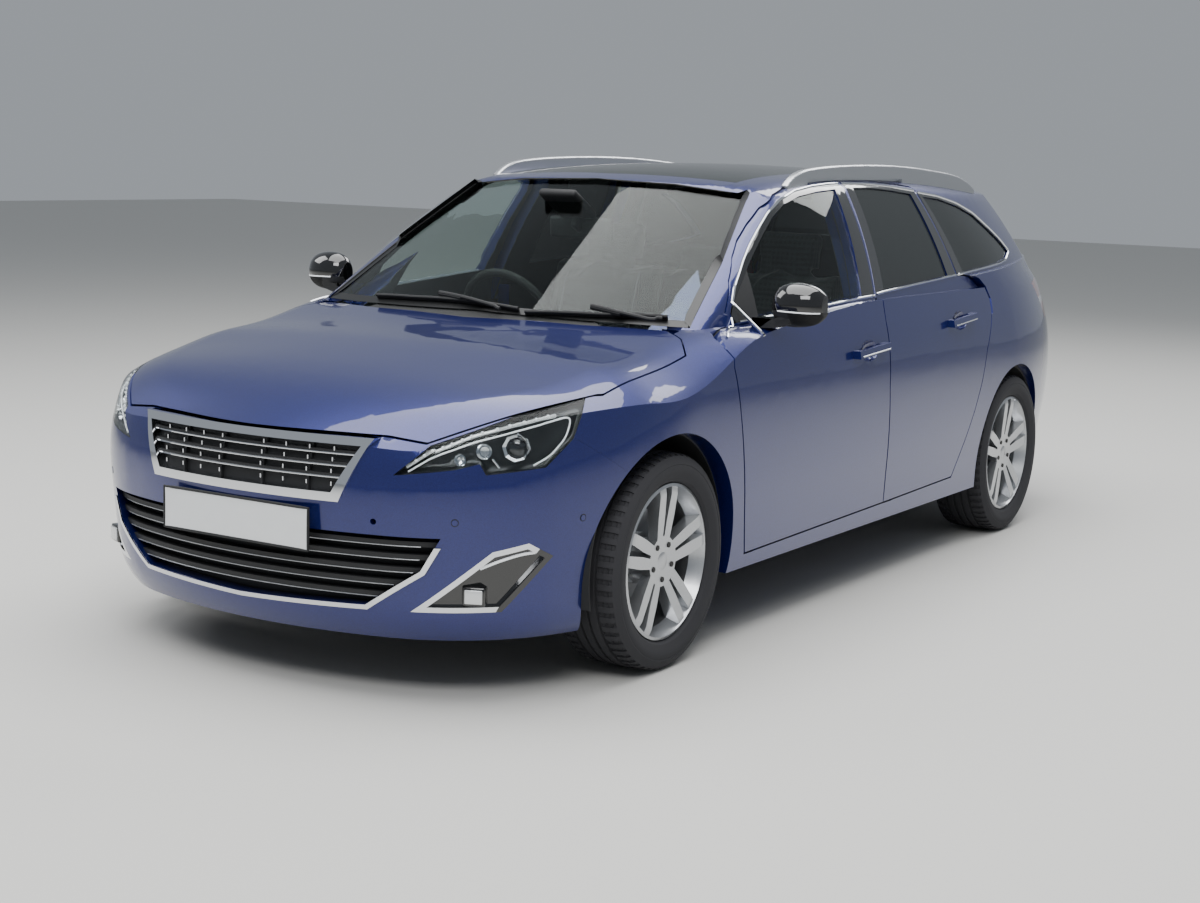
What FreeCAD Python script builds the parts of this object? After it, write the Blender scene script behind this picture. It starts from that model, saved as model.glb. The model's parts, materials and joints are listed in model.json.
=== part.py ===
import FreeCAD, Part
import math
import os

# Station wagon, built as an assembly of its real panels, glass, lamps, seats, axles and wheels.
# Millimetres. X points to the car's left, Y to its rear, Z up. The nose points along -Y.
# The origin is on the ground, under the middle of the car's length and width.

Vec = FreeCAD.Vector

# Driving dimensions of the car
LENGTH = 4585.0
WHEELBASE = 2730.0
FRONT_OVERHANG = 863.0
NOSE_Y = -LENGTH / 2
TAIL_Y = LENGTH / 2
FRONT_AXLE_Y = NOSE_Y + FRONT_OVERHANG
REAR_AXLE_Y = FRONT_AXLE_Y + WHEELBASE

# Tyres 225/40 R18 and their rims
TYRE_RADIUS = 318.5
TYRE_WIDTH = 225.0
TYRE_OUTER_X = 892.0
TYRE_INNER_X = TYRE_OUTER_X - TYRE_WIDTH
BEAD_RADIUS = 229.0
RIM_RADIUS = 243.0
AXLE_Z = TYRE_RADIUS

# Thickness of the panels
SIDE_WALL = 70.0
DECK_WALL = 32.0
CABIN_WALL = 42.0
ROOF_WALL = 36.0
DOOR_INNER_X = 775.0
SHUT_GAP = 5.5
LOW_SLANT = 0.13
FRAME_SLANTS = ((-1300, -140, 0.0), (-140, 450, 0.27), (450, 1300, 0.42))
SEAT_GAP = 0.3
GLASS_INSET = 5.0
GLASS_THICK = 5.0

# Lower body by height: z, nose y, half width, tail y
WALL_SHAPE = {
    "front_depth": 890.0, "rear_depth": 1040.0, "front": (17, 53, 520.0), "rear": (14, 56, 280.0),
}
WALL = [
    (170, -2222, 856, 2165),
    (240, -2260, 875, 2210),
    (350, -2276, 884, 2250),
    (480, -2283, 895, 2285),
    (580, -2285, 900, 2292.5),
    (690, -2262, 901, 2287),
    (790, -2212, 896, 2266),
    (890, -2140, 880, 2238),
    (990, -2040, 852, 2196),
    (1090, -1900, 818, 2128),
]

# Greenhouse by height: z, windscreen y, half width, rear window y
GREEN_SHAPE = {
    "side_start": 100.0, "rear_depth": 1000.0, "front": (25.5, 55.5, 90.0), "rear": (18, 60, 260.0),
}
GREEN = [
    (880, -1365, 856, 2131),
    (1000, -1160, 822, 2098),
    (1150, -903, 768, 1999),
    (1300, -642, 695, 1886),
    (1460, -364, 590, 1730),
]

# Top surfaces by station: y, crown z, x and z where the shoulder starts, x and z where it ends.
# The deck's last two rows only steer it: the belt takes over where it starts.
DECK = [
    (-2300, 690, 250, 682, 900, 440),
    (-2100, 790, 400, 770, 900, 570),
    (-1900, 854, 600, 828, 900, 680),
    (-1700, 892, 675, 858, 912, 722),
    (-1500, 920, 692, 890, 912, 750),
    (-1300, 946, 700, 914, 912, 785),
    (-1100, 975, 714, 950, 912, 845),
    (-900, 975, 752, 960, 912, 912),
    (-700, 978, 780, 970, 912, 940),
    (-500, 988, 790, 981, 912, 958),
    (-300, 1000, 790, 993, 912, 971),
    (-100, 1010, 790, 1004, 912, 984),
]
BELT_START_Y = -500.0
BELT = [
    (-500, 988, 790, 981, 912, 958),
    (200, 1025, 790, 1019, 912, 1000),
    (900, 1056, 790, 1050, 912, 1032),
    (1600, 1086, 790, 1080, 912, 1058),
    (2300, 1116, 790, 1110, 912, 1082),
]
ROOF = [
    (-1600, 1010, 430, 985, 760, 800),
    (-1200, 1165, 450, 1140, 760, 940),
    (-800, 1300, 470, 1275, 760, 1060),
    (-400, 1404, 510, 1377, 760, 1165),
    (0, 1440, 540, 1411, 760, 1205),
    (400, 1447, 540, 1417, 760, 1210),
    (800, 1441, 540, 1410, 760, 1200),
    (1200, 1425, 530, 1393, 760, 1175),
    (1600, 1397, 515, 1365, 760, 1140),
    (2000, 1354, 490, 1324, 760, 1100),
    (2400, 1295, 480, 1265, 760, 1050),
]
ROOF_SKIRT = (200, 260)

# Outlines in side view (y, z), in plan (x, y) and from the front (x, z)
FRONT_DOOR = [
    (-962, 272), (-1060, 710), (-1090, 855), (-1078, 905), (-1056, 932), (-905, 996), (-818, 1088),
    (-724, 1158), (-647, 1208), (-561, 1258), (-466, 1309), (-360, 1350), (-236, 1377), (-103, 1392),
    (30, 1400), (123, 1403), (46, 1005), (32, 930), (28, 700), (68, 288),
]
REAR_DOOR = [
    (73.5, 288), (33.5, 700), (37.5, 930), (51.5, 1005), (128.5, 1403), (336, 1402), (510, 1393),
    (722, 1377), (818, 1049), (900, 1046), (960, 1030), (1005, 1000), (1030, 955), (1022, 900),
    (990, 840), (945, 765), (905, 650), (850, 540), (790, 440), (735, 360), (690, 300),
]
FRONT_WINDOW = [
    (-58, 1013), (-500, 989), (-850, 972), (-850, 1022), (-795, 1066), (-703, 1135), (-628, 1184),
    (-545, 1233), (-453, 1283), (-351, 1323), (-232, 1350), (-102, 1365), (38, 1373),
]
REAR_WINDOW = [
    (128, 1026), (190, 1376), (336, 1376), (510, 1367), (669, 1354), (731, 1054),
]
QUARTER_WINDOW = [
    (770, 1344), (911, 1334), (1079, 1307), (1220, 1269), (1349, 1209), (1450, 1159), (1508, 1120),
    (1425, 1097), (1306, 1084), (887, 1062),
]
HOOD_PLAN = [
    (800, -2400), (797, -1751), (802, -1529), (800, -1243), (740, -1168),
    (660, -1118), (400, -1192), (0, -1250),
]
HOOD_FRONT = [(0, 720), (430, 722), (542, 712), (697, 785), (790, 824), (930, 824), (930, 1100), (0, 1100)]
WINDSCREEN = [(0, 974), (712, 959), (655, 1140), (558, 1354), (300, 1380), (0, 1389)]
# Tailgate: its foot, and its half width at each distance from the hinge, so that its sides slide clear
TAILGATE_FOOT = 697.0
TAILGATE_EDGE = [
    (1200, 540), (865, 570), (815, 595), (760, 620), (628, 636), (503, 652), (423, 640), (319, 617),
    (253, 594), (186, 571), (120, 548), (67, 540), (0, 536),
]
# Radius of the round front edge of the tailgate's opening: at the crown and at its ends
TAILGATE_NOSE = (72.0, 32.0)
BACK_WINDOW = [(0, 1302), (455, 1290), (560, 1128), (0, 1124)]
GRILLE = [(-414, 716), (414, 716), (400, 692), (334, 543), (-334, 543), (-400, 692)]
GRILLE_OPENING = [(-382, 694), (382, 694), (312, 567), (-312, 567)]
INTAKE = [(-598, 462), (598, 462), (550, 372), (400, 268), (0, 256), (-400, 268), (-550, 372)]
HEADLAMP = [
    (479, -2207, 625), (542, -2131, 705), (697, -1974, 779), (781, -1749, 816), (814, -1855, 718),
    (787, -1944, 648), (689, -2080, 633), (673, -2087, 662), (624, -2130, 646),
]
FOG = [(515, -2172, 256), (690, -2045, 425), (762, -1978, 445), (793, -1907, 404), (707, -2022, 257)]
LAMP_VIEW = (0.6, -0.8, 0)
FENDER_SIDE = [
    (-2400, 1200), (-2400, 700), (-1846, 700), (-1663, 590), (-1500, 100), (-930, 100), (-951, 262),
    (-951, 899.7), (-1072, 899.7), (-1072, 1200),
]
BODY_SIDE = [
    (-1071.7, 900), (-1071.7, 1500), (2400, 1500), (2400, 100), (-929.7, 100), (-950.7, 262), (-950.7, 900),
]
BUMPER_SIDE = [(-2400, 100), (-2400, 900), (-1846, 900), (-1846, 717), (-1663, 609), (-1500, 100)]
REAR_BUMPER_SIDE = [(1400, 100), (1400, 560), (1655, 598), (1850, 691), (2400, 691), (2400, 100)]
TAIL_LAMP_SIDE = [(1690, 985), (1840, 836), (2400, 822), (2400, 1000), (1950, 1004)]
# Roof rail: its crest in side view, its inner and outer side and the rounding of its edges
RAIL = [
    (-250, 1384), (-180, 1422), (-60, 1443), (200, 1456), (500, 1460), (800, 1454), (1100, 1437),
    (1320, 1411), (1440, 1374),
]
RAIL_X = (582.0, 612.0)
RAIL_BASE_Z = 1325.0
RAIL_ROUND = 9.0
# Outer side and height under which the rail is cut back, clear of the swinging frame of the rear door
RAIL_STEP = (598.0, 1409.0)
ROOF_PLAN = [(0, -600), (500, -600), (500, 1750), (0, 1750)]
ROOF_HOLE = [(0, -352), (440, -322), (440, 1150), (0, 1150)]
ROOF_PANE = [(0, -392), (468, -352), (468, 1180), (0, 1180)]
# Posts behind the door frames, and the band behind the slope of the front one
SLOPE_BAND = (4, 15, 18.0, -16.0)
POSTS = [
    [(-20, 900), (-10, 1020), (60, 1400), (190, 1400), (150, 1010), (140, 900)],
    [(790, 900), (780, 1060), (680, 1395), (800, 1395), (905, 1050), (905, 900)],
]
TOW_SOCKET = (430.0, 498.0)
GRILLE_BARS = (606, 637, 668)
GRILLE_POSTS = (-225, -75, 75, 225)
SLATS = (290, 326, 362, 398, 434)
JACK_PADS = [(600, -950), (600, 640)]
HOUSE_X = 470.0
# Door handles: y and z of the bar's front and rear ends
HANDLES = {"front": (-264, 833, -7, 847), "rear": (572, 887, 815, 903)}
HANDLE_HALF = 13.0
HANDLE_CUP = (34.0, 72.0, 38.0)
PLATE_RECESS = [(-275, 768), (275, 768), (258, 896), (-258, 896)]
# Door mirror by station: x, y, z, half depth and half height; and where its back is cut flat
MIRROR = [
    (856, -780, 1026, 26, 34), (885, -782, 1028, 52, 62), (935, -782, 1030, 60, 68),
    (985, -778, 1030, 54, 60), (1021.5, -768, 1030, 26, 32),
]
MIRROR_BACK = -752.0

# Joints: hinge axes, wheel axes and steering
FRONT_HINGE = (852.0, -940.0)
REAR_HINGE = (852.0, 105.0)
HINGE_HEIGHTS = (400.0, 745.0)
HOOD_HINGE = (-1130.0, 936.0)
HOOD_CORNER = 698.0  # half width of the space that its rear corners sweep
TAILGATE_HINGE = (1640.0, 1342.0)
KINGPIN_X = 700.0
POST_X = (640.0, 692.0)

# Brake discs and the calipers that straddle them
DISC = {"x": (744.0, 766.0), "radius": 146.0}
CALIPER = {"angle": 26.0, "inner": 92.0, "outer": 170.0, "gap": 5.5}


def turn(radius, a0, a1):
    """Displacement of an arc whose heading turns from a0 to a1 degrees, 0 along X, 90 along Y."""
    s0, c0 = math.sin(math.radians(a0)), math.cos(math.radians(a0))
    s1, c1 = math.sin(math.radians(a1)), math.cos(math.radians(a1))
    return radius * (s1 - s0), radius * (c0 - c1)


def quarter(width, depth, bow_deg, corner_deg, corner_r):
    """Points of a quarter outline in plan: bow, corner and side arcs, each tangent to the next."""
    a1, a2 = bow_deg, bow_deg + corner_deg
    cx, cy = turn(corner_r, a1, a2)
    bx, by = turn(1.0, 0, a1)
    sx, sy = turn(1.0, a2, 90)
    det = bx * sy - sx * by
    bow_r = ((width - cx) * sy - sx * (depth - cy)) / det
    side_r = (bx * (depth - cy) - by * (width - cx)) / det
    points, x, y = [(0.0, 0.0)], 0.0, 0.0
    for radius, b0, b1 in ((bow_r, 0, a1), (corner_r, a1, a2), (side_r, a2, 90)):
        middle = (b0 + b1) / 2
        for c0, c1 in ((b0, middle), (middle, b1)):
            dx, dy = turn(radius, c0, c1)
            x, y = x + dx, y + dy
            points.append((x, y))
    return points


def arcs(points):
    """Edges of a chain of arcs: each arc takes its start, a middle point and its end."""
    return [Part.Arc(*points[i:i + 3]).toShape() for i in range(0, len(points) - 2, 2)]


def flipped(points):
    """The same points on the other side of the centre plane, in the opposite order."""
    return [Vec(-p.x, p.y, p.z) for p in points][::-1]


def plan_section(z, front_y, half, rear_y, shape):
    """Closed horizontal outline of the body at height z."""
    side_start = shape.get("side_start", front_y + shape.get("front_depth", 0))
    front = quarter(half, side_start - front_y, *shape["front"])
    rear = quarter(half, shape["rear_depth"], *shape["rear"])
    left = [Vec(x, front_y + y, z) for x, y in front]
    back = [Vec(x, rear_y - y, z) for x, y in rear][::-1]
    right_back, right = flipped(back), flipped(left)
    sides = [Part.LineSegment(a, b).toShape() for a, b in ((left[-1], back[0]), (right_back[-1], right[0]))]
    return Part.Wire(arcs(left) + sides[:1] + arcs(back) + arcs(right_back) + sides[1:] + arcs(right))


def tangent_arc(start, heading, end):
    """Arc that leaves start along heading and reaches end."""
    chord = end - start
    normal = Vec(heading)
    normal.normalize()
    across = chord - normal * chord.dot(normal)
    radius = chord.Length ** 2 / (2 * across.Length)
    across.normalize()
    centre = start + across * radius
    middle = (start + end) * 0.5 - centre
    middle.normalize()
    return Part.Arc(start, centre + middle * radius, end).toShape()


def top_section(y, crown_z, xs, zs, xe, ze, floor_z, skirt):
    """Cross-section under a top surface: crown arc, two shoulders and sides down to floor_z."""
    left, right, top = Vec(xs, y, zs), Vec(-xs, y, zs), Vec(0, y, crown_z)
    crown = Part.Arc(right, top, left)
    heading = Vec(crown.tangent(crown.LastParameter)[0])
    if heading.x < 0:
        heading = heading * -1
    shoulder = tangent_arc(left, heading, Vec(xe, y, ze))
    other = tangent_arc(right, Vec(-heading.x, 0, heading.z), Vec(-xe, y, ze))
    side, drop = skirt
    outline = [Vec(xe, y, ze)]
    if drop:
        outline.append(Vec(xe + side, y, ze - drop))
    outline.append(Vec(xe + side, y, floor_z))
    outline += [Vec(-p.x, y, p.z) for p in outline[::-1]]
    edges = [crown.toShape(), shoulder]
    edges += [Part.LineSegment(p, q).toShape() for p, q in zip(outline, outline[1:])]
    edges.append(other)
    return Part.Wire(edges)


def wall_solid(inset=0.0, lowered=0.0):
    """Lower body without its top, moved inwards by inset."""
    rows = [(WALL[0][0] - lowered,) + WALL[0][1:]] + WALL[1:]
    wires = [plan_section(z, f + inset, h - inset, r - inset, WALL_SHAPE) for z, f, h, r in rows]
    return Part.makeLoft(wires, True, False)


def wall_layer(outer, inner, region):
    """Part of the lower wall between two insets, inside a region."""
    return region.common(wall_solid(outer)).cut(wall_solid(inner))


def green_solid(inset=0.0):
    """Greenhouse without its roof, moved inwards by inset."""
    wires = [plan_section(z, f + inset * 2, h - inset, r - inset, GREEN_SHAPE) for z, f, h, r in GREEN]
    return Part.makeLoft(wires, True, False)


def top_solid(table, floor_z, drop=0.0, skirt=(0, 0)):
    """Everything under a top surface, lowered by drop."""
    wires = []
    for y, crown, xs, zs, xe, ze in table:
        wires.append(top_section(y, crown - drop, xs, zs - drop, xe, ze - drop, floor_z, skirt))
    return Part.makeLoft(wires, True, False)


def lower_body(inset=0.0, drop=0.0, lowered=0.0):
    """Lower body with hood, shoulders and belt."""
    deck = top_solid(DECK, 80, drop).common(box(-1000, 1000, -2400, BELT_START_Y, 0, 1200))
    return wall_solid(inset, lowered).common(deck.fuse(top_solid(BELT, 80, drop)))


def cabin_body(inset=0.0, drop=0.0):
    """Greenhouse with its roof."""
    return green_solid(inset).common(top_solid(ROOF, 400, drop, ROOF_SKIRT))


def polygon(points):
    """Flat face through the points."""
    return Part.Face(Part.makePolygon(points + points[:1]))


def side_prism(points, x0=400.0, x1=1100.0, skew=0.0, skin=None):
    """Side-view outline pushed along X, true at the skin and moving rearwards by skew per unit of x."""
    base = [Vec(x0, y + (skew * (x0 - skin(z)) if skin else 0.0), z) for y, z in points]
    return polygon(base).extrude(Vec(x1 - x0, skew * (x1 - x0), 0))


def plan_prism(points, z0, z1):
    """Plan outline pushed up from z0 to z1."""
    return polygon([Vec(x, y, z0) for x, y in points]).extrude(Vec(0, 0, z1 - z0))


def front_prism(points, y0, y1):
    """Front-view outline pushed rearwards from y0 to y1."""
    return polygon([Vec(x, y0, z) for x, z in points]).extrude(Vec(0, y1 - y0, 0))


def whole(half):
    """Outline completed across the centre plane from its half with x of at least 0."""
    other = [(-x, v) for x, v in half[::-1] if x > 0]
    return list(half) + other


def slab(points, direction, reach):
    """Outline through points in space, flattened across direction and pushed both ways."""
    along = Vec(*direction)
    along.normalize()
    base = [Vec(*p) - along * Vec(*p).dot(along) for p in points]
    middle = sum((Vec(*p).dot(along) for p in points)) / len(points)
    return polygon([p + along * (middle - reach) for p in base]).extrude(along * (2 * reach))


def grown(points, distance):
    """Outline moved outwards by distance, or inwards when it is negative."""
    count = len(points)
    area = sum(points[i][0] * points[(i + 1) % count][1] - points[(i + 1) % count][0] * points[i][1]
               for i in range(count))
    sign = distance if area > 0 else -distance
    lines = []
    for i in range(count):
        (ax, ay), (bx, by) = points[i], points[(i + 1) % count]
        size = math.hypot(bx - ax, by - ay)
        nx, ny = (by - ay) / size, -(bx - ax) / size
        lines.append((ax + nx * sign, ay + ny * sign, bx - ax, by - ay))
    out = []
    for i in range(count):
        px, py, pdx, pdy = lines[i - 1]
        qx, qy, qdx, qdy = lines[i]
        det = pdx * qdy - pdy * qdx
        if abs(det) < 1e-6:
            out.append((qx, qy))
            continue
        t = ((qx - px) * qdy - (qy - py) * qdx) / det
        out.append((px + pdx * t, py + pdy * t))
    return out


def box(x0, x1, y0, y1, z0, z1):
    return Part.makeBox(x1 - x0, y1 - y0, z1 - z0, Vec(x0, y0, z0))


def rod(start, end, radius):
    """Round bar between two points."""
    axis = Vec(*end) - Vec(*start)
    return Part.makeCylinder(radius, axis.Length, Vec(*start), axis)


def ring(x0, x1, y, z, outer, inner):
    """Tube along X."""
    return rod((x0, y, z), (x1, y, z), outer).cut(rod((x0 - 1, y, z), (x1 + 1, y, z), inner))


def spun(profile, origin, axis, degrees=360):
    """Solid of revolution of a closed profile given as points in space."""
    return polygon(profile).revolve(Vec(*origin), Vec(*axis), degrees)


def fused(shapes):
    result = shapes[0]
    for shape in shapes[1:]:
        result = result.fuse(shape)
    return result


def other_side(shape):
    """The same shape on the right of the car."""
    return shape.mirror(Vec(0, 0, 0), Vec(1, 0, 0))


def both_sides(shape):
    return Part.makeCompound(solids(shape) + solids(other_side(shape)))


def solids(shape, least=500.0):
    """Solids of a shape, without crumbs smaller than least."""
    return [s for s in shape.Solids if s.Volume > least]


def biggest(shape):
    return max(shape.Solids, key=lambda s: s.Volume)


NODES = []


def node(name, shape):
    """Keep a finished piece under its name."""
    NODES.append((name, shape))


def door_relief(hinge, outline, extra):
    """Round space that a door's front edge sweeps, by height, about its hinge."""
    hx, hy = hinge
    points = list(outline)
    for (y0, z0), (y1, z1) in zip(outline, outline[1:]):
        for z, _, _, _ in WALL:
            if min(z0, z1) + 20 < z < max(z0, z1) - 20:
                points.append((y0 + (y1 - y0) * (z - z0) / (z1 - z0), z))
    rows = sorted((z, math.hypot(skin_at(z) - hx, y - hy) + extra) for y, z in points)
    bottom, top = rows[0][0] - SHUT_GAP, rows[-1][0]
    profile = [Vec(hx, hy, bottom), Vec(hx + rows[0][1], hy, bottom)]
    profile += [Vec(hx + r, hy, z) for z, r in rows]
    profile.append(Vec(hx, hy, top))
    return spun(profile, (hx, hy, 0), (0, 0, 1))


def half_width(table, z):
    """Half width at height z from a table of sections."""
    rows = [(row[0], row[2]) for row in table]
    for (z0, x0), (z1, x1) in zip(rows, rows[1:]):
        if z <= z1:
            return x0 + (x1 - x0) * (z - z0) / (z1 - z0)
    return rows[-1][1]


def skin_at(z):
    return half_width(WALL, z)


def glass_at(z):
    return half_width(GREEN, z)


def door_room(outline, gap, inner_x, frame_x):
    """Space of a door inside its outline grown by gap: thick lower part and thin upper frame.

    Its edges slant, outer side rearmost, so that its rear edge slides clear as the door opens.
    """
    edge = grown(outline, gap)
    low = side_prism(edge, inner_x, 960, LOW_SLANT, skin_at).common(box(500, 1000, -1300, 1300, 0, 1000))
    parts = []
    for y0, y1, slant in FRAME_SLANTS:
        part = side_prism(edge, frame_x, 960, slant, glass_at).common(box(500, 1000, y0, y1, 900, 1460))
        if part.Solids:
            parts.append(part)
    high = fused(parts).cut(box(500, inner_x, -1300, -880, 880, 1000))
    return low, high


def hinge_arm(hinge, z):
    """Hinge bracket of a body post: arm, knuckle and pin."""
    hx, hy = hinge
    arm = box(670, hx, hy - 9, hy + 9, z, z + 14)
    knuckle = rod((hx, hy, z), (hx, hy, z + 14), 11)
    pin = rod((hx, hy, z + 10), (hx, hy, z + 44), 6)
    return fused([arm, knuckle, pin])


def hinge_notch(hinge, z):
    """Space a door leaves around a hinge bracket over its whole swing, with the pin's bore."""
    hx, hy = hinge
    room = box(hx - 160, hx + 16.5, hy - 200, hy + 16.5, z - 6, z + 20)
    bore = rod((hx, hy, z + 19), (hx, hy, z + 50), 6 + SEAT_GAP)
    return room.fuse(bore)


def build_shell():
    """Outer body, its hollow and the shell between them."""
    low, cab = lower_body(), cabin_body()
    hollow = lower_body(SIDE_WALL, DECK_WALL, 40).fuse(cabin_body(CABIN_WALL, ROOF_WALL))
    return low, cab, low.fuse(cab).cut(hollow)


FRONT_ARCH = rod((440, FRONT_AXLE_Y, 322), (1000, FRONT_AXLE_Y, 322), 372)
REAR_ARCH = rod((440, REAR_AXLE_Y, 320), (1000, REAR_AXLE_Y, 320), 362)
LOW, CABIN, SHELL = build_shell()
FRONT_RELIEF = door_relief(FRONT_HINGE, FRONT_DOOR[:6], 5.5)
REAR_RELIEF = door_relief(REAR_HINGE, REAR_DOOR[:4], 5.5)


def glass(region, inset=GLASS_INSET, thick=GLASS_THICK):
    """Sheet of glass under the greenhouse surface inside a region."""
    sheet = green_solid(inset).common(region)
    return biggest(sheet.cut(green_solid(inset + thick)))


def handle(y0, z0, y1, z1):
    """Pull handle on its two feet along the skin, and the finger cup behind it."""
    half = HANDLE_HALF
    slope = (z1 - z0) / (y1 - y0)
    bar = [(y0, z0 - half), (y1, z1 - half), (y1, z1 + half), (y0, z0 + half)]
    feet = []
    for a, b in ((y0, y0 + 34), (y1 - 46, y1)):
        za, zb = z0 + slope * (a - y0), z0 + slope * (b - y0)
        feet.append(side_prism([(a, za - half), (b, zb - half), (b, zb + half), (a, za + half)], 780, 1000))
    pull = wall_layer(-28, -13, side_prism(bar, 780, 1000))
    pull = pull.fuse(wall_layer(-20, 4, Part.makeCompound(feet)))
    cup = Part.makeSphere(1.0)
    matrix = FreeCAD.Matrix()
    matrix.scale(*HANDLE_CUP)
    cup = cup.transformGeometry(matrix)
    middle_z = (z0 + z1) / 2
    cup.translate(Vec(skin_at(middle_z) + 12, (y0 + y1) / 2, middle_z))
    return pull, cup


def swept_corner(hinge, outline):
    """What a door loses at its front edge so that it turns inside its relief."""
    hx, hy = hinge
    room = door_relief(hinge, outline, 0)
    heights = [z for _, z in outline]
    return box(600, 1000, hy - 300, hy, min(heights) - 20, max(heights)).cut(room)


def make_door(outline, window, hinge, name):
    """One left door with its glass."""
    low_room, high_room = door_room(outline, 0, DOOR_INNER_X, 598)
    low = LOW.common(low_room)
    frame = high_room.common(CABIN).cut([cabin_body(CABIN_WALL, ROOF_WALL), side_prism(window, 500, 960)])
    tools = [hinge_notch(hinge, z) for z in HINGE_HEIGHTS]
    if name == "front":
        tools.append(REAR_RELIEF)
        tools.append(swept_corner(hinge, outline[:6]))
        tools.append(front_prism(grown(whole(WINDSCREEN), SHUT_GAP), -1300, 0))
    else:
        tools.append(swept_corner(hinge, outline[:4]))
    pull, cup = handle(*HANDLES[name])
    door = biggest(low.fuse(frame).cut(tools + [cup]).fuse(pull))
    pane = glass(side_prism(grown(window, -SEAT_GAP), 500, 960))
    for side, mirror in (("left", False), ("right", True)):
        node("door_%s_%s" % (name, side), other_side(door) if mirror else door)
        node("glass_%s_%s" % (name, side), other_side(pane) if mirror else pane)


def hood_regions():
    """Region of the hood, and the wider one its neighbours keep clear of."""
    regions = []
    for gap in (0, SHUT_GAP):
        plan = plan_prism(grown(whole(HOOD_PLAN), gap), 400, 1300)
        front = front_prism(grown(whole(HOOD_FRONT), gap), -2500, -900)
        regions.append(plan.common(front))
    return regions


def tailgate_sweep(gap):
    """Round space of the tailgate's front edge as it opens, widest at the crown and smaller by gap."""
    ty, tz = TAILGATE_HINGE
    half = 546 - gap
    crown, end = (radius - gap for radius in TAILGATE_NOSE)
    arc = Part.Arc(Vec(-half, ty, tz + end), Vec(0, ty, tz + crown), Vec(half, ty, tz + end)).toShape()
    corners = [Vec(half, ty, tz + end), Vec(half, ty, tz), Vec(-half, ty, tz), Vec(-half, ty, tz + end)]
    sides = [Part.makeLine(p, q) for p, q in zip(corners, corners[1:])]
    return Part.Face(Part.Wire([arc] + sides)).revolve(Vec(0, ty, tz), Vec(1, 0, 0), 360)


def tailgate_regions():
    """Region of the tailgate, and the wider one its neighbours keep clear of."""
    ty, tz = TAILGATE_HINGE
    regions = []
    for gap, start in ((0, ty - 1), (SHUT_GAP, ty - 15)):
        edge = whole([(0, TAILGATE_EDGE[0][0])] + [(x + gap, radius) for radius, x in TAILGATE_EDGE])
        disc = spun([Vec(x, ty - radius, tz) for x, radius in edge], (0, ty, tz), (1, 0, 0))
        rear = box(-700, 700, start, 2500, TAILGATE_FOOT - gap, 1500)
        regions.append(disc.common(rear.fuse(tailgate_sweep(SHUT_GAP - gap))))
    return regions


HOOD_REGION, HOOD_ROOM = hood_regions()
TAILGATE_REGION, TAILGATE_ROOM = tailgate_regions()


def hood_sweep():
    """Round space that the hood's rear corners sweep about their hinge."""
    hy, hz = HOOD_HINGE
    return rod((-HOOD_CORNER, hy, hz), (HOOD_CORNER, hy, hz), 32)


def make_hood():
    hy, hz = HOOD_HINGE
    bores = [rod((side * 640, hy, hz), (side * 800, hy, hz), 5 + SEAT_GAP) for side in (1, -1)]
    node("hood", biggest(SHELL.common(HOOD_REGION).cut(bores)))


def make_front_bumper():
    bx, bz = TOW_SOCKET
    tools = [
        HOOD_ROOM,
        front_prism(grown(GRILLE, SEAT_GAP), -2500, -1900),
        front_prism(INTAKE, -2500, -1900),
        slab(HEADLAMP, LAMP_VIEW, 400),
        other_side(slab(HEADLAMP, LAMP_VIEW, 400)),
        slab(FOG, LAMP_VIEW, 300),
        other_side(slab(FOG, LAMP_VIEW, 300)),
        FRONT_ARCH,
        other_side(FRONT_ARCH),
        lip_room(SEAT_GAP).cut(wall_solid(12 + SEAT_GAP)),
        rod((bx, -2400, bz), (bx, -2170, bz), 8.3),
    ]
    node("front_bumper", biggest(SHELL.common(side_prism(BUMPER_SIDE, -1100, 1100)).cut(tools)))


def make_front_face():
    """Grille surround, dark bars, lower slats and bright lip, all seated in the bumper."""
    frame = front_prism(GRILLE, -2500, -1900).cut([front_prism(GRILLE_OPENING, -2600, -1800), HOOD_ROOM])
    node("grille_surround", biggest(wall_layer(-5, 36, frame)))
    inner = front_prism(grown(GRILLE_OPENING, -SEAT_GAP), -2500, -1900)
    bars = Part.makeCompound([box(-420, 420, -2500, -1900, z, z + 9) for z in GRILLE_BARS])
    posts = Part.makeCompound([box(x - 4, x + 4, -2500, -1900, 540, 720) for x in GRILLE_POSTS])
    upper = wall_layer(26, 34, inner).fuse(wall_layer(10, 28, inner.common(bars)))
    upper = upper.fuse(wall_layer(16, 30, inner.common(posts)))
    room = front_prism(grown(INTAKE, -SEAT_GAP), -2500, -1900)
    slats = Part.makeCompound([box(-620, 620, -2500, -1900, z, z + 14) for z in SLATS])
    lower = wall_layer(46, 54, room).fuse(wall_layer(14, 50, room.common(slats)))
    node("grille_bars", Part.makeCompound([biggest(upper), biggest(lower)]))
    node("front_lip", biggest(wall_layer(-4, 12, lip_room(0))))


def lip_room(gap):
    """Region of the bright lip under the lower intake, grown by gap."""
    around = front_prism(grown(INTAKE, 14 + gap), -2500, -1900)
    return around.cut(front_prism(grown(INTAKE, 1 - gap), -2500, -1900)).cut(
        box(-700, 700, -2500, -1900, 436 + gap, 600))


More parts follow.
